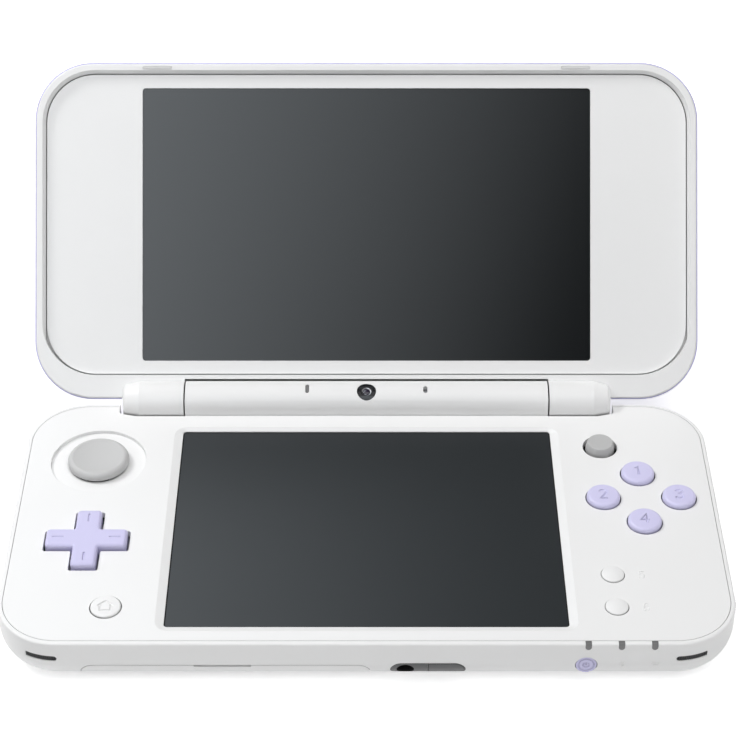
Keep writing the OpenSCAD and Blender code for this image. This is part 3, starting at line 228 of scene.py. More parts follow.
def dark_finish(name, colour, roughness, haze=0.02):
    """Dark clear plastic or glass: a smooth surface with a trace of haze in its gloss."""
    finish = Finish(name)
    film = finish.noise(35, detail=3)
    fine = finish.noise(0.3, detail=2)
    finish.colour = finish.mix(film, colour, tone(colour, 0.85))
    finish.gloss = (film - 0.5) * haze + roughness
    finish.set(Base_Color=finish.colour, Roughness=finish.gloss)
    finish.relief(fine, 0.0002, 0.05)
    return finish


lens_black = dark_finish("lens_black", (0.012, 0.012, 0.014), 0.08).material
paint(lens_black, "outer_cameras")


def centre(node):
    """The middle of a CAD piece's box."""
    low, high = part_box(node)
    return (low + high) / 2


def place(name, mesh, material, body):
    """Puts a finished mesh on a body."""
    mesh.name = name
    mesh.materials.clear()
    mesh.materials.append(material)
    piece = bpy.data.objects.new(name, mesh)
    bpy.context.scene.collection.objects.link(piece)
    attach(piece, body)
    return piece


def turned(profile, base, axis, closed=False, steps=48):
    """A turned form: its profile is points (radius, height) in mm from base along axis."""
    form = bmesh.new()
    turn = Vector(axis).to_track_quat("Z", "Y").to_matrix()
    rings = []
    for radius, height in profile:
        count = steps if radius > 0 else 1
        rings.append([form.verts.new(Vector(base) + turn @ Vector((
            radius * MM * math.cos(2 * math.pi * i / steps),
            radius * MM * math.sin(2 * math.pi * i / steps), height * MM))) for i in range(count)])
    pairs = list(zip(rings, rings[1:])) + ([(rings[-1], rings[0])] if closed else [])
    for low, high in pairs:
        for i in range(steps):
            j = (i + 1) % steps
            corners = [low[i % len(low)], low[j % len(low)], high[j % len(high)], high[i % len(high)]]
            form.faces.new(list(dict.fromkeys(corners)))
    bmesh.ops.recalc_face_normals(form, faces=form.faces)
    mesh = bpy.data.meshes.new("turned")
    form.to_mesh(mesh)
    form.free()
    mesh.shade_smooth()
    mesh.set_sharp_from_angle(angle=math.radians(40))
    return mesh


def lens(name, base, axis, radius, body):
    """A camera: a grey ring in its hole, round a small domed glass with a coated glint."""
    ring = [(0.62, -0.22), (0.62, 0.0), (0.72, 0.10), (0.92, 0.12), (1, 0.02), (1, -0.22)]
    ring = [(radius * share, height) for share, height in ring]
    place(name + "_ring", turned(ring, base, axis, closed=True), lens_ring, body)
    glass_r, crown, sunk = radius * 0.6, 0.22, 0.12
    dome = [(0, -0.2), (glass_r, -0.2)]
    dome += [(glass_r * math.cos(a), crown * math.sin(a) - sunk) for a in map(math.radians, range(0, 90, 18))]
    place(name + "_glass", turned(dome + [(0, crown - sunk)], base, axis), lens_coat, body)


lens_ring = pressed_steel("lens_ring", (0.30, 0.30, 0.31), 0.35, (1, 1, 1))
coat = Finish("lens_coat")
tint = coat.noise(2.5)
coat.set(Base_Color=coat.mix(tint, (0.02, 0.016, 0.03), (0.03, 0.02, 0.045)), Roughness=0.05 + tint * 0.02,
         Coat_Weight=1.0)
coat.relief(coat.noise(0.3), 0.0002)
lens_coat = coat.material
LENS_X, LENS_Z, LENS_R = 17.5, 0.75, 1.0
for side, x in (("left", -LENS_X), ("right", LENS_X)):
    lens("outer_lens_" + side, (x * MM, centre("outer_cameras").y, LENS_Z * MM), (0, 0, -1), LENS_R, "base")

# --- Inside the base ---------------------------------------------------------------------------
# The main board lies on the bottom case's ribs, with the battery, the card slots and the radio
# below it. The rubber sheets, the switches and the volume control stand on it.

board = Finish("solder_mask")
track = board.add("ShaderNodeTexBrick", {"offset": 0.5}, {
    "Vector": board.place, "Scale": 260.0, "Color1": (0.012, 0.10, 0.055), "Color2": (0.016, 0.125, 0.07),
    "Mortar": (0.02, 0.2, 0.10), "Mortar Size": 0.06})
blotch = board.noise(6, detail=3)
board.set(Base_Color=board.mix(blotch * 0.5, track, (0.01, 0.08, 0.045)),
          Roughness=0.35 + (blotch - 0.5) * 0.2)
board.relief(board.noise(0.4), 0.01, 0.05)
paint(board.material, "main_board")

wrap = Finish("cell_wrap")
crease = wrap.noise(4, detail=4, stretch=(1, 3, 1))
wrap.set(Base_Color=wrap.mix(crease, (0.06, 0.062, 0.07), (0.10, 0.10, 0.11)),
         Metallic=0.35, Roughness=0.4 + (crease - 0.5) * 0.3)
wrap.relief(crease, 0.04, 0.3)
paint(wrap.material, "battery")

black_plastic = moulded("black_plastic", (0.022, 0.023, 0.026), 0.45, shade=0.2)
key_rubber = cast_rubber("key_rubber", (0.5, 0.5, 0.52))
paint(steel, "card_slot", "memory_card_slot", "wireless_module", "screen_frame", "microphone", "hinge_pins")
paint(black_plastic, "pad_module", "edge_switches", "volume_pot", "nub_sensor", "speakers")
paint(key_rubber, "dpad_rubber", "button_rubbers", "small_rubbers")

# --- Card slot's contacts ----------------------------------------------------------------------
# Gilt springs along the back of the slot, stamped from bronze strip, that press on the card.
# They stand in one row at an even pitch, with their tips bent up.


def rule_tree(name, sizes):
    """A Geometry Nodes tree with named inputs for its sizes, and the wires that they come in on."""
    tree = bpy.data.node_groups.new(name, "GeometryNodeTree")
    kinds = {int: "NodeSocketInt", float: "NodeSocketFloat", tuple: "NodeSocketVector"}
    for label, value in sizes.items():
        tree.interface.new_socket(label, in_out="INPUT", socket_type=kinds[type(value)])
    tree.interface.new_socket("Finish", in_out="INPUT", socket_type="NodeSocketMaterial")
    tree.interface.new_socket("Geometry", in_out="OUTPUT", socket_type="NodeSocketGeometry")
    graph = Graph(tree)
    entry = tree.nodes.new("NodeGroupInput")
    return graph, {socket.name: Wire(graph, socket) for socket in entry.outputs if socket.name}


def in_row(graph, size, thing):
    """Repeats a thing along a straight row, by the sizes Count, First and Pitch."""
    line = graph.add("GeometryNodeMeshLine", inputs={
        "Count": size["Count"], "Start Location": size["First"], "Offset": size["Pitch"]})
    return graph.add("GeometryNodeInstanceOnPoints", inputs={"Points": line, "Instance": thing})


def by_rule(name, graph, wires, geometry, sizes, material, body):
    """Ends the tree, gives it the sizes, and places the plain mesh that it makes."""
    real = graph.add("GeometryNodeRealizeInstances", inputs={0: geometry})
    done = graph.add("GeometryNodeSetMaterial", inputs={0: real, "Material": wires["Finish"]})
    graph.put(done, graph.tree.nodes.new("NodeGroupOutput").inputs[0])
    host = bpy.data.objects.new(name + "_rule", bpy.data.meshes.new(name + "_rule"))
    bpy.context.scene.collection.objects.link(host)
    rule = host.modifiers.new("rule", "NODES")
    rule.node_group = graph.tree
    for item in graph.tree.interface.items_tree:
        if item.in_out == "INPUT":
            rule[item.identifier] = material if item.name == "Finish" else sizes[item.name]
    mesh = bpy.data.meshes.new_from_object(host.evaluated_get(bpy.context.evaluated_depsgraph_get()))
    bpy.data.objects.remove(host)
    return place(name, mesh, material, body)


slot_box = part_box("card_slot")
first = (slot_box[0].x + 2.2 * MM, slot_box[1].y - 0.7 * MM, slot_box[1].z - 0.45 * MM)
leaf = {"Count": 17, "First": first, "Pitch": (1.9 * MM, 0.0, 0.0), "Reach": 5 * MM, "Drop": 0.9 * MM,
        "Width": 0.8 * MM, "Gauge": 0.14 * MM}
graph, size = rule_tree("spring_contacts", leaf)
bend = graph.add("ShaderNodeCombineXYZ", inputs={"Y": size["Reach"] * -0.8, "Z": size["Drop"] * -1})
tip = graph.add("ShaderNodeCombineXYZ", inputs={"Y": size["Reach"] * -1, "Z": size["Drop"] * -0.2})
spring = graph.add("GeometryNodeCurveQuadraticBezier", inputs={
    "Resolution": 8, "Start": (0, 0, 0), "Middle": bend, "End": tip})
strip = graph.add("GeometryNodeCurvePrimitiveQuadrilateral", inputs={
    "Width": size["Width"], "Height": size["Gauge"]})
spring = graph.add("GeometryNodeCurveToMesh", inputs={
    "Curve": spring, "Profile Curve": strip, "Fill Caps": True})
gilt = pressed_steel("gilt_bronze", (0.80, 0.60, 0.28), 0.25, (1, 8, 1))
by_rule("card_contacts", graph, size, in_row(graph, size, spring), leaf, gilt, "base")

# --- Speaker slots -----------------------------------------------------------------------------
# Behind each corner slot stands a black moulded insert with fine upright bars over its cloth.
# It keeps dust off the speaker inside.

CORNER_R, SLOT_ANGLE = 14.0, 32.0
SLOT_LOW, SLOT_HIGH = 7.8, 9.2
CLOTH_INNER_R, CLOTH_OUTER_R, CLOTH_GAP, END_GAP = 12.62, 13.75, 0.01, 0.15
CLOTH_STEPS = 16
BAR_MARGIN = 0.8
case_low, case_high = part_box("bottom_case")
half_w, half_d = case_high.x / MM, -case_low.y / MM

cloth = Finish("speaker_cloth")
weave = cloth.add("ShaderNodeTexBrick", {"offset": 0.5}, {
    "Vector": cloth.place, "Scale": 1 / (0.5 * MM), "Color1": (0.02, 0.02, 0.021),
    "Color2": (0.03, 0.03, 0.031), "Mortar": (0.006, 0.006, 0.006), "Mortar Size": 0.08})
cloth.set(Base_Color=weave, Roughness=0.85)
cloth.relief(cloth.noise(0.2), 0.02)


def arc_block(corner, first, last, profile, steps):
    """A block bent round a corner: points (radius, height) in mm, swept from one angle to another."""
    form = bmesh.new()
    rows = []
    for i in range(steps + 1):
        turn = math.radians(first + (last - first) * i / steps)
        rows.append([form.verts.new(corner + Vector((r * math.cos(turn), r * math.sin(turn), z)) * MM)
                     for r, z in profile])
    for one, other in zip(rows, rows[1:]):
        for k in range(len(profile)):
            n = (k + 1) % len(profile)
            form.faces.new([one[k], one[n], other[n], other[k]])
    form.faces.new(rows[0])
    form.faces.new(rows[-1])
    bmesh.ops.recalc_face_normals(form, faces=form.faces)
    mesh = bpy.data.meshes.new("arc_block")
    form.to_mesh(mesh)
    form.free()
    return mesh


for name, side, first, last in (("left", -1, 270 - SLOT_ANGLE + END_GAP, 270 - END_GAP),
                                ("right", 1, -90 + END_GAP, -90 + SLOT_ANGLE - END_GAP)):
    corner = Vector((side * (half_w - CORNER_R), CORNER_R - half_d, 0)) * MM
    low, high = SLOT_LOW + CLOTH_GAP, SLOT_HIGH - CLOTH_GAP
    outline = [(CLOTH_INNER_R, low), (CLOTH_OUTER_R, low), (CLOTH_OUTER_R, high), (CLOTH_INNER_R, high)]
    place("speaker_cloth_" + name, arc_block(corner, first, last, outline, CLOTH_STEPS), cloth.material, "base")
    bars = {"Count": 16, "Corner": tuple(corner + Vector((0, 0, (SLOT_LOW + SLOT_HIGH) / 2 * MM))),
            "Radius": 13.76 * MM, "Start": math.radians(first + BAR_MARGIN),
            "Sweep": math.radians(last - first - 2 * BAR_MARGIN),
            "Bar radius": 0.12 * MM, "Bar height": 1.3 * MM}
    graph, size = rule_tree("slot_bars_" + name, bars)
    arc = graph.add("GeometryNodeCurveArc", inputs={
        "Resolution": 33, "Radius": size["Radius"], "Start Angle": size["Start"], "Sweep Angle": size["Sweep"]})
    points = graph.add("GeometryNodeResampleCurve", inputs={"Curve": arc, "Count": size["Count"]})
    bar = graph.add("GeometryNodeMeshCylinder", inputs={
        "Vertices": 8, "Radius": size["Bar radius"], "Depth": size["Bar height"]})
    row = graph.add("GeometryNodeInstanceOnPoints", inputs={"Points": points, "Instance": bar})
    row = graph.add("GeometryNodeTransform", inputs={0: row, "Translation": size["Corner"]})
    by_rule("slot_bars_" + name, graph, size, row, bars, black_plastic, "base")

# --- Sockets -----------------------------------------------------------------------------------
# The headphone socket and the end of the stylus share one dark panel in the front edge.
# The charging socket and the infrared window are in the back edge.

panel_plastic = moulded("panel_plastic", (0.062, 0.063, 0.066), 0.38, shade=0.12)
paint(panel_plastic, "socket_bezel", "headphone_socket", "stylus", "charge_port")
paint(dark_finish("infrared_filter", (0.03, 0.004, 0.008), 0.06).material, "infrared_window")

# --- Deck plate --------------------------------------------------------------------------------
# The white top plate of the base, snapped into the case with a thin groove all round it.
# Fine raised figures beside the small buttons are moulded in one piece with it.

paint(white_plastic, "deck_plate")

FIGURES = {
    "1": [[(-.2, .26), (.04, .5), (.04, -.5)]],
    "2": [[(-.28, .26), (-.2, .42), (-.05, .5), (.12, .49), (.25, .37), (.27, .2), (.17, .03), (-.28, -.5),
           (.3, -.5)]],
    "3": [[(-.26, .34), (-.12, .48), (.1, .5), (.25, .37), (.24, .18), (.1, .05), (-.06, .03)],
          [(.1, .05), (.26, -.1), (.28, -.28), (.15, -.46), (-.06, -.5), (-.22, -.43), (-.29, -.3)]],
    "4": [[(.14, -.5), (.14, .5), (-.32, -.18), (.32, -.18)]],
    "5": [[(.24, .5), (-.2, .5), (-.24, .06), (-.05, .15), (.14, .12), (.27, -.04), (.27, -.28), (.12, -.47),
           (-.1, -.5), (-.28, -.36)]],
    "6": [[(.2, .42), (.03, .5), (-.15, .4), (-.26, .12), (-.28, -.2), (-.16, -.45), (.04, -.5), (.22, -.4),
           (.28, -.2), (.17, .0), (-.04, .05), (-.2, -.03), (-.28, -.2)]],
}


def strokes_mesh(strokes, radius_mm, height_mm, base, across=(1, 0, 0), along=(0, 1, 0)):
    """Round strokes of a figure, height_mm tall, in the plane of across and along at base."""
    curve = bpy.data.curves.new("strokes", "CURVE")
    curve.dimensions = "3D"
    curve.bevel_depth = radius_mm * MM
    curve.bevel_resolution = 2
    curve.use_fill_caps = True
    for points in strokes:
        spline = curve.splines.new("POLY")
        spline.points.add(len(points) - 1)
        for point, (u, v) in zip(spline.points, points):
            at = Vector(base) + (Vector(across) * u + Vector(along) * v) * height_mm * MM
            point.co = (*at, 1)
    host = bpy.data.objects.new("strokes", curve)
    bpy.context.scene.collection.objects.link(host)
    mesh = bpy.data.meshes.new_from_object(host.evaluated_get(bpy.context.evaluated_depsgraph_get()))
    bpy.data.objects.remove(host)
    mesh.shade_smooth()
    return mesh


deck_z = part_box("deck_plate")[1].z
FIGURE_ASIDE, FIGURE_H, FIGURE_STROKE_R = 6.3, 2.1, 0.13
for figure, node in (("5", "start_button"), ("6", "select_button")):
    at = centre(node)
    mesh = strokes_mesh(FIGURES[figure], FIGURE_STROKE_R, FIGURE_H, (at.x + FIGURE_ASIDE * MM, at.y, deck_z))
    place("raised_figure_" + figure, mesh, white_plastic, "base")

# --- Lower screen ------------------------------------------------------------------------------
# A liquid crystal panel in a steel frame, under a resistive touch film with a soft, hazy gloss and
# a matt black border printed along the edge of its window.

paint(dark_finish("screen_cell", (0.02, 0.021, 0.023), 0.2).material, "lower_lcd", "upper_lcd")

film = dark_finish("touch_film", (0.0165, 0.0195, 0.0215), 0.36, haze=0.04)
WINDOW_HALF_W, WINDOW_HALF_H, WINDOW_Y = 43.5 * MM, 32.85 * MM, -2.0 * MM
BORDER, BORDER_FADE, INK, INK_ROUGHNESS = 0.24 * MM, 0.072 * MM, (0.004, 0.004, 0.004), 0.85
from_side = WINDOW_HALF_W - film.part(film.place, "X").size()
from_end = WINDOW_HALF_H - (film.part(film.place, "Y") - WINDOW_Y).size()
inside = from_side.within(BORDER, BORDER + BORDER_FADE) * from_end.within(BORDER, BORDER + BORDER_FADE)
film.set(Base_Color=film.mix(inside, INK, film.colour),
         Roughness=INK_ROUGHNESS - inside * (INK_ROUGHNESS - film.gloss))
paint(film.material, "touch_panel")

# --- Round pad ---------------------------------------------------------------------------------
# The cap slides on a cross slide under the deck, with a shield that keeps the hole closed.
# It is moulded in grey plastic, with a shallow dish for the thumb and a wide round edge.

pad_grey = moulded("pad_grey", (0.57, 0.57, 0.57), 0.55, grain_mm=0.3, depth_mm=0.006, edge_mm=0.2)
paint(pad_grey, "pad_slider", "dpad_pivot")


def swept(middle, r, first, last, steps):
    """Points of an arc of radius r in a profile, round middle, from one angle to another."""
    angles = [math.radians(first + (last - first) * i / steps) for i in range(steps + 1)]
    return [(middle[0] + r * math.cos(a), middle[1] + r * math.sin(a)) for a in angles]


PAD_R, PAD_ROUND, PAD_FOOT_Z, PAD_CHAMFER = 7.1, 1.2, 12.4, 0.3
PAD_BROW_R, PAD_DISH_EDGE_R, PAD_DISH_LIP, PAD_DISH_R = 5.85, 5.75, 0.07, 27.0
at = centre("pad_cap")
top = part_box("pad_cap")[1].z / MM
profile = [(0, PAD_FOOT_Z), (PAD_R - PAD_CHAMFER, PAD_FOOT_Z), (PAD_R, PAD_FOOT_Z + PAD_CHAMFER)]
profile += swept((PAD_R - PAD_ROUND, top - PAD_ROUND), PAD_ROUND, 0, 80, 10) + [(PAD_BROW_R, top)]
profile += [(r, top - PAD_DISH_LIP - (PAD_DISH_EDGE_R ** 2 - r ** 2) / (2 * PAD_DISH_R))
            for r in (5.6, 5.0, 4.2, 3.3, 2.2, 1.0, 0)]
cap = place("pad_cap_form", turned(profile, (at.x, at.y, 0), (0, 0, 1), steps=96), pad_grey, "pad_cap")
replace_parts(cap, "pad_cap")

# --- Direction pad -----------------------------------------------------------------------------
# A moulded lavender cross over the domes of a rubber sheet, with soft top edges and a short line
# sunk in each arm.

lavender_plastic = moulded("lavender_plastic", (0.635, 0.61, 0.87), 0.34, edge_mm=0.3)


def cross_loop(half_l, half_w, outer, inner, z):
    """Points round a cross. Its arms' corners are rounded by outer, and those between them by inner."""
    points = []
    for quarter in range(4):
        turn = Matrix.Rotation(math.radians(90 * quarter), 3, "Z")
        for u, v, r, start, sweep in ((half_l - outer, outer - half_w, outer, -90, 90),
                                      (half_l - outer, half_w - outer, outer, 0, 90),
                                      (half_w + inner, half_w + inner, inner, 270, -90)):
            for i in range(5):
                a = math.radians(start + sweep * i / 4)
                points.append(turn @ Vector((u + r * math.cos(a), v + r * math.sin(a), z)))
    return points


def lofted(name, loops, base):
    """A closed skin over loops with the same count of points, from the lowest to the highest."""
    count = len(loops[0])
    corners = [Vector(base) + point * MM for loop in loops for point in loop]
    faces = []
    for start in range(0, (len(loops) - 1) * count, count):
        for i in range(count):
            low, low_next = start + i, start + (i + 1) % count
            faces.append([low, low_next, low_next + count, low + count])
    faces += [list(range(count))[::-1], list(range(len(corners) - count, len(corners)))]
    mesh = bpy.data.meshes.new(name)
    mesh.from_pydata(corners, [], faces)
    return mesh


def engraved(name, node, blank, cutter, material):
    """Stands for a CAD piece on the body of the same name: a blank, with a cutter's shape sunk in it."""
    piece = bpy.data.objects.new(name, blank)
    tool = bpy.data.objects.new(name + "_tool", cutter)
    for made in (piece, tool):
        bpy.context.scene.collection.objects.link(made)
    cut = piece.modifiers.new("cut", "BOOLEAN")
    cut.operation, cut.solver, cut.use_self, cut.object = "DIFFERENCE", "EXACT", True, tool
    mesh = bpy.data.meshes.new_from_object(piece.evaluated_get(bpy.context.evaluated_depsgraph_get()))
    for made in (piece, tool):
        bpy.data.objects.remove(made)
    mesh.shade_smooth()
    mesh.set_sharp_from_angle(angle=math.radians(28))
    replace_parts(place(name, mesh, material, node), node)


ARM_HALF_L, ARM_HALF_W, ARM_TIP_R, ARM_FORK_R = 9.08, 2.8, 0.95, 0.35
ARM_ROUND, ARM_WALL, ARM_FOOT_Z, ARM_LIFT = 0.7, 0.85, 11.4, 0.1
at = centre("dpad")
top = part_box("dpad")[1].z / MM + ARM_LIFT
rim = swept((ARM_HALF_W - ARM_ROUND, top - ARM_ROUND), ARM_ROUND, 2, 86, 6)
levels = [(ARM_FOOT_Z, 0.0), (top - ARM_WALL, 0.0)] + [(z, ARM_HALF_W - u) for u, z in rim] + [(top, 0.82)]
loops = [cross_loop(ARM_HALF_L - inset, ARM_HALF_W - inset, ARM_TIP_R - inset, ARM_FORK_R + inset, z)
         for z, inset in levels]
LINE_IN, LINE_OUT, LINE_R, LINE_UP = 5.1, 7.6, 0.23, 0.02
lines = [[(u * LINE_IN, v * LINE_IN), (u * LINE_OUT, v * LINE_OUT)]
         for u, v in ((-1, 0), (1, 0), (0, -1), (0, 1))]
cutter = strokes_mesh(lines, LINE_R, 1.0, (at.x, at.y, (top + LINE_UP) * MM))
engraved("dpad_cap", "dpad", lofted("dpad_cap", loops, (at.x, at.y, 0)), cutter, lavender_plastic)

# --- Face buttons ------------------------------------------------------------------------------
# Lavender caps with a soft edge, each with a figure sunk in its crown.
# A flange under the deck holds each cap on its rubber dome.

# A lighter copy of the lavender plastic: its brighter tone paints in the light that falls on the button caps.
button_plastic = moulded("button_plastic", (0.695, 0.67, 0.93), 0.34, edge_mm=0.3)


def welded(node, slim=1.0, lift_mm=0.0):
    """A copy of a CAD piece's mesh with its corners joined, ready to be cut. Its sides can be drawn in,
    and what stands above the deck lifted."""
    mesh = nodes[node].data.copy()
    if "custom_normal" in mesh.attributes:
        mesh.attributes.remove(mesh.attributes["custom_normal"])
    form = bmesh.new()
    form.from_mesh(mesh)
    bmesh.ops.remove_doubles(form, verts=form.verts, dist=0.5e-6)
    for edge in form.edges:
        edge.smooth = True
    axis = centre(node)
    for corner in form.verts:
        corner.co.x = axis.x + (corner.co.x - axis.x) * slim
        corner.co.y = axis.y + (corner.co.y - axis.y) * slim
        if corner.co.z > deck_z:
            corner.co.z += lift_mm * MM
    form.to_mesh(mesh)
    form.free()
    return mesh


CAP_SLIM, CAP_LIFT = 0.968, 0.15
CAP_FIGURE_H, CAP_STROKE_R, CAP_STROKE_UP = 2.9, 0.3, 0.02
for figure, node in (("1", "button_top"), ("2", "button_left"), ("3", "button_right"), ("4", "button_bottom")):
    at = centre(node)
    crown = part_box(node)[1].z + (CAP_LIFT + CAP_STROKE_UP) * MM
    cutter = strokes_mesh(FIGURES[figure], CAP_STROKE_R, CAP_FIGURE_H, (at.x, at.y, crown))
    engraved(node + "_cap", node, welded(node, CAP_SLIM, CAP_LIFT), cutter, button_plastic)

# --- Small buttons -----------------------------------------------------------------------------
# White caps in the deck. The one on the left has the outline of a house sunk in it.
# They are moulded with flanges and stand on domes of a rubber sheet.

paint(white_plastic, "start_button", "select_button")
HOUSE = [[(-.58, .0), (0, .52), (.58, .0)], [(-.40, .1), (-.40, -.48), (.40, -.48), (.40, .1)]]
HOUSE_H, HOUSE_STROKE_R, HOME_SLIM = 2.9, 0.28, 0.972
at = centre("home_button")
cutter = strokes_mesh(HOUSE, HOUSE_STROKE_R, HOUSE_H, (at.x, at.y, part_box("home_button")[1].z))
engraved("home_button_cap", "home_button", welded("home_button", HOME_SLIM), cutter, white_plastic)

# --- Power button ------------------------------------------------------------------------------
# A small lavender cap in the front edge, with a ring and the usual mark for power sunk in it.
# Its flange holds it behind the wall, in front of a switch on the board.


def ring_points(radius, first, last, step, up=0.0):
    """Points of a circle or an arc in the plane of a figure, raised by up."""
    return [(radius * math.cos(a), radius * math.sin(a) + up)
            for a in map(math.radians, range(first, last, step))]


POWER_MARK = [ring_points(0.40, 125, 416, 10, -0.02), [(0, .02), (0, .46)], ring_points(0.98, 0, 361, 12)]
POWER_MARK_H, POWER_STROKE_R, POWER_STROKE_IN = 1.7, 0.16, 0.03
at = centre("power_button")
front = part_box("power_button")[0].y + POWER_STROKE_IN * MM
cutter = strokes_mesh(POWER_MARK, POWER_STROKE_R, POWER_MARK_H, (at.x, front, at.z), along=(0, 0, 1))
# The power cap shares the lighter lavender, whose extra brightness is painted light.
engraved("power_button_cap", "power_button", welded("power_button"), cutter, button_plastic)

# --- Nub ---------------------------------------------------------------------------------------
# A grey rubber cap on a short steel post that bends a strain sensor.
# It is cast with a flat top and steep sides.

nub_rubber = moulded("nub_rubber", (0.50, 0.50, 0.50), 0.6, grain_mm=0.3, depth_mm=0.008, edge_mm=0.1)
at = centre("nub_cap")
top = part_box("nub_cap")[1].z / MM
NUB_R, NUB_TOP_R, NUB_ROUND, NUB_H, NUB_CONE_H = 3.38, 2.98, 0.24, 2.3, 1.5
profile = [(0, top - NUB_H), (NUB_R, top - NUB_H), (NUB_R, top - NUB_CONE_H)]
profile += swept((NUB_TOP_R - NUB_ROUND, top - NUB_ROUND), NUB_ROUND, 14, 90, 6)
profile += [(2.6, top), (1.2, top - 0.04), (0, top - 0.05)]
nub = place("nub_cap_form", turned(profile, (at.x, at.y, 0), (0, 0, 1), steps=64), nub_rubber, "nub_cap")
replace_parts(nub, "nub_cap")
paint(steel, "nub_post")

# --- Edge parts --------------------------------------------------------------------------------
# Shoulder buttons and triggers at the back corners, and the indicators' windows in the front edge.
# Two fine raised pictograms, a plug and a radio wave, stand below the windows.

paint(white_plastic, "shoulder_left", "shoulder_right", "trigger_left", "trigger_right")
paint(dark_finish("lamp_window", (0.20, 0.20, 0.20), 0.25).material, "indicator_lenses", "notification_led")

FAN = [ring_points(r, 50, 131, 10, -0.5) for r in (0.34, 0.64, 0.94)]
PLUG = [[(-.26, .12), (.26, .12), (.26, -.12), (0, -.3), (-.26, -.12), (-.26, .12)], [(-.14, .12), (-.14, .42)],
        [(.14, .12), (.14, .42)], [(0, -.3), (0, -.5)]]
PICTOGRAM_H, PICTOGRAM_STROKE_R, PICTOGRAM_IN, PICTOGRAM_Z = 1.9, 0.12, 0.03, 6.95
for name, strokes, x in (("radio_pictogram", FAN, 61.6), ("plug_pictogram", PLUG, 54.6)):
    spot = Vector((x, PICTOGRAM_IN - half_d, PICTOGRAM_Z)) * MM
    mesh = strokes_mesh(strokes, PICTOGRAM_STROKE_R, PICTOGRAM_H, spot, along=(0, 0, 1))
    place(name, mesh, white_plastic, "base")

# --- Card flap ---------------------------------------------------------------------------------
# A thin white door on a pin, with a notch for a fingernail along its upper edge.
# It is moulded in the case's plastic and swings down in front of the card slots.

NOTCH_X, NOTCH_HALF_L, NOTCH_R, NOTCH_IN, NOTCH_DOWN = -30.8, 6.1, 0.55, 0.3, 0.05
flap_low, flap_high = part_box("card_flap")
spot = (NOTCH_X * MM, flap_low.y + NOTCH_IN * MM, flap_high.z - NOTCH_DOWN * MM)
cutter = strokes_mesh([[(-NOTCH_HALF_L, 0), (NOTCH_HALF_L, 0)]], NOTCH_R, 1.0, spot)
engraved("card_flap_door", "card_flap", welded("card_flap"), cutter, white_plastic)

# --- Volume slider -----------------------------------------------------------------------------
# A grey knob in the left edge, with fine ridges across it for the thumb.
# It is moulded in plastic and moves a small sliding control on the board.

paint(pad_grey, "volume_slider")
RIDGES, RIDGE_PITCH, RIDGE_UP = 5, 0.7 * MM, 0.1 * MM
at = centre("volume_slider")
first = (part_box("volume_slider")[0].x, at.y - RIDGE_PITCH * (RIDGES - 1) / 2, at.z + RIDGE_UP)
ridge = {"Count": RIDGES, "First": first, "Pitch": (0.0, RIDGE_PITCH, 0.0),
         "Ridge radius": 0.12 * MM, "Ridge height": 1.3 * MM}
graph, size = rule_tree("thumb_ridges", ridge)
bar = graph.add("GeometryNodeMeshCylinder", inputs={
    "Vertices": 12, "Radius": size["Ridge radius"], "Depth": size["Ridge height"]})
by_rule("slider_ridges", graph, size, in_row(graph, size, bar), ridge, pad_grey, "volume_slider")

# --- Hinge barrel ------------------------------------------------------------------------------
# A hollow white barrel glued into the trough, with the inner camera, a lamp and the microphone.
# A steel hinge cartridge sits in each of its ends.

paint(white_plastic, "hinge_barrel")
paint(lens_black, "inner_camera")
INNER_LENS_UP, INNER_LENS_OUT, INNER_LENS_R = math.radians(69), 4.42, 1.45
hinge = Vector(joints["lid_hinge"]["pos_m"])
look = Vector((0, -math.cos(INNER_LENS_UP), math.sin(INNER_LENS_UP)))
lens("inner_lens", hinge + look * INNER_LENS_OUT * MM, look, INNER_LENS_R, "base")

# --- Lid ---------------------------------------------------------------------------------------
# The white frame carries the knuckles; the bezel and the glass lie in its recess, and the
# lavender cover closes its back.

paint(white_plastic, "lid_bezel")
# The lid frame's plastic paints a wider and darker seam shade, so that the walls of the recess round the bezel
# look shaded.
paint(moulded("frame_plastic", WHITE, 0.42, seam=0.75, seam_mm=1.2), "lid_frame")
paint(lavender_plastic, "lid_cover")
paint(dark_finish("screen_glass", (0.0105, 0.0118, 0.0125), 0.12).material, "upper_glass")
paint(cast_rubber("bumper_rubber", (0.66, 0.66, 0.66)), "lid_bumpers")

# --- Studio ------------------------------------------------------------------------------------
# A pale floor, a soft lamp on the left, a broad fill overhead, and a white world that is brightest
# overhead. Each screen mirrors a graded card, which only gloss sees.

CAMERA_DOWN = 37.826
camera = bpy.data.objects.new("camera", bpy.data.cameras.new("camera"))
camera.data.sensor_width = 36
camera.data.lens = 106.28
camera.data.shift_x = 0.0023
camera.data.clip_start = 0.01
camera.location = (-0.04 * MM, -368.05 * MM, 341.08 * MM)
camera.rotation_euler = (math.radians(90 - CAMERA_DOWN), 0, 0)
bpy.context.scene.collection.objects.link(camera)
bpy.context.scene.camera = camera


def sheet_mesh(name, across, along):
    """A flat sheet centred on the origin, given by two half sides."""
    a, b = Vector(across), Vector(along)
    mesh = bpy.data.meshes.new(name)
    mesh.from_pydata([-a - b, a - b, a + b, b - a], [], [(0, 1, 2, 3)])
    return mesh


def background_rays(graph):
    """1 where the camera, gloss or something clear looks at the background, else 0."""
    camera_ray, glossy_ray, clear_ray = [graph.add("ShaderNodeLightPath", output="Is %s Ray" % kind)
                                         for kind in ("Camera", "Glossy", "Transmission")]
    return (camera_ray + glossy_ray + clear_ray).within(0, 1)


def staged(name, half_across, half_along, material):
    """A flat sheet that belongs to the studio."""
    sheet = bpy.data.objects.new(name, sheet_mesh(name, (half_across, 0, 0), (0, half_along, 0)))
    sheet.data.materials.append(material)
    bpy.context.scene.collection.objects.link(sheet)
    return sheet


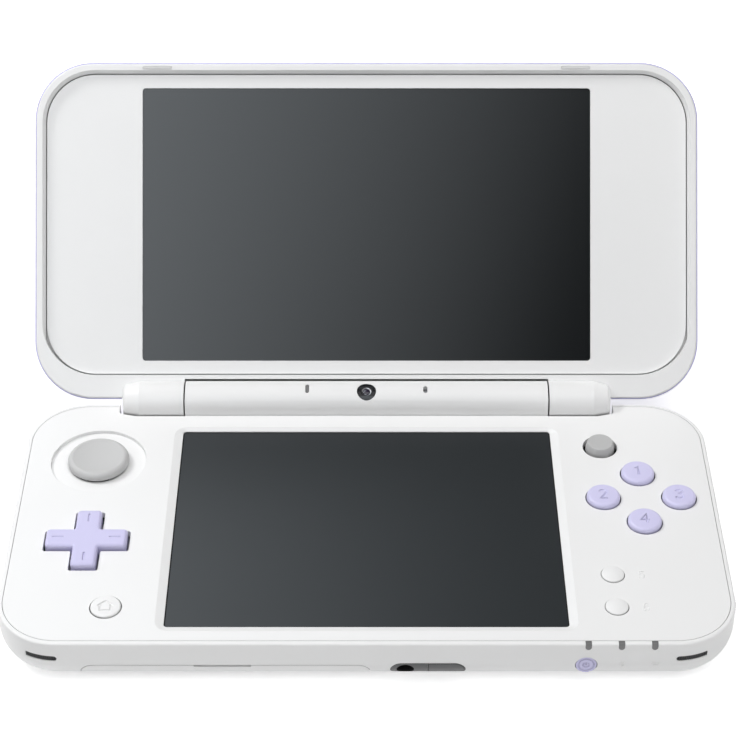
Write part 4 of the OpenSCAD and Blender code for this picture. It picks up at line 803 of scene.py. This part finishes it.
FLOOR_GLOW, FLOOR_NEAR, FLOOR_FAR = 0.55, 0.5, 2.0
paper = Finish("studio_floor")
paper.set(Base_Color=(0.9, 0.9, 0.9), Roughness=0.9)
away = paper.add("ShaderNodeVectorMath", {"operation": "LENGTH"}, {0: paper.place}, output="Value")
strength = background_rays(paper) * (away.within(FLOOR_NEAR, FLOOR_FAR) * (1 - FLOOR_GLOW) + FLOOR_GLOW)
glow = paper.add("ShaderNodeEmission", inputs={"Color": (1, 1, 1), "Strength": strength})
paper.surface(paper.add("ShaderNodeAddShader", inputs={0: Wire(paper, paper.shader.outputs[0]), 1: glow}))
staged("studio_floor", 4, 4, paper.material)


CARD_TINT = (0.93, 1.0, 1.06)


def graded_card(name, node, normal, far, middle, across, along, most):
    """A card that only gloss sees, where the camera finds it mirrored in a screen. Its light is
    middle at its centre, changes by across and along for each metre, and stops at most."""
    finish = Finish(name)
    grade = middle + finish.part(finish.place, "X") * across + finish.part(finish.place, "Y") * along
    grade = grade.within(0.0, most) * most
    finish.surface(finish.add("ShaderNodeEmission", inputs={"Color": CARD_TINT, "Strength": grade}))
    to_camera = (Vector(camera.location) - centre(node)).normalized()
    way = (normal * 2 * normal.dot(to_camera) - to_camera).normalized()
    card = staged(name, 0.7, 0.45, finish.material)
    card.location = centre(node) + way * far
    side = Vector((1, 0, 0))
    card.rotation_euler = Matrix((side, way.cross(side), way)).transposed().to_euler()
    for kind in ("camera", "diffuse", "transmission", "volume_scatter", "shadow"):
        setattr(card, "visible_" + kind, False)


LID_FACES = Vector((0, -0.787, 0.617))
graded_card("upper_card", "upper_glass", LID_FACES, far=1.0, middle=1.42, across=-8.6, along=2.4, most=4.0)
graded_card("lower_card", "touch_panel", Vector((0, 0, 1)),
            far=0.6, middle=0.80, across=-12.5, along=2.4, most=2.0)

SKY_LOW, SKY_RISE = 0.06, 0.38
world = bpy.data.worlds.new("studio")
bpy.context.scene.world = world
world.use_nodes = True
background = world.node_tree.nodes["Background"].inputs
sky = Graph(world.node_tree)
height = sky.part(sky.add("ShaderNodeTexCoord", output="Generated"), "Z")
ambient = SKY_LOW + height.within(0, 1) * SKY_RISE
sky.put(ambient + background_rays(sky) * (1 - ambient), background["Strength"])
sky.put((1, 1, 1), background["Color"])


def lamp(name, spot, size, level, aim=(0, 0.02, 0.03)):
    """A square soft lamp at a spot, aimed at the object; level is the tone that it gives a white face."""
    light = bpy.data.lights.new(name, "AREA")
    light.size = size
    away = Vector(spot) - Vector(aim)
    light.energy = level * math.pi * away.length ** 2 * math.pi
    lit = bpy.data.objects.new(name, light)
    lit.location = spot
    lit.rotation_euler = away.to_track_quat("Z", "Y").to_euler()
    bpy.context.scene.collection.objects.link(lit)
    return lit


lamp("key_lamp", (-0.60, 0.20, 0.76), size=0.25, level=0.40)
lamp("fill_lamp", (0.20, -0.30, 1.04), size=0.8, level=0.475).visible_glossy = False

bpy.context.scene.view_settings.view_transform = "Standard"
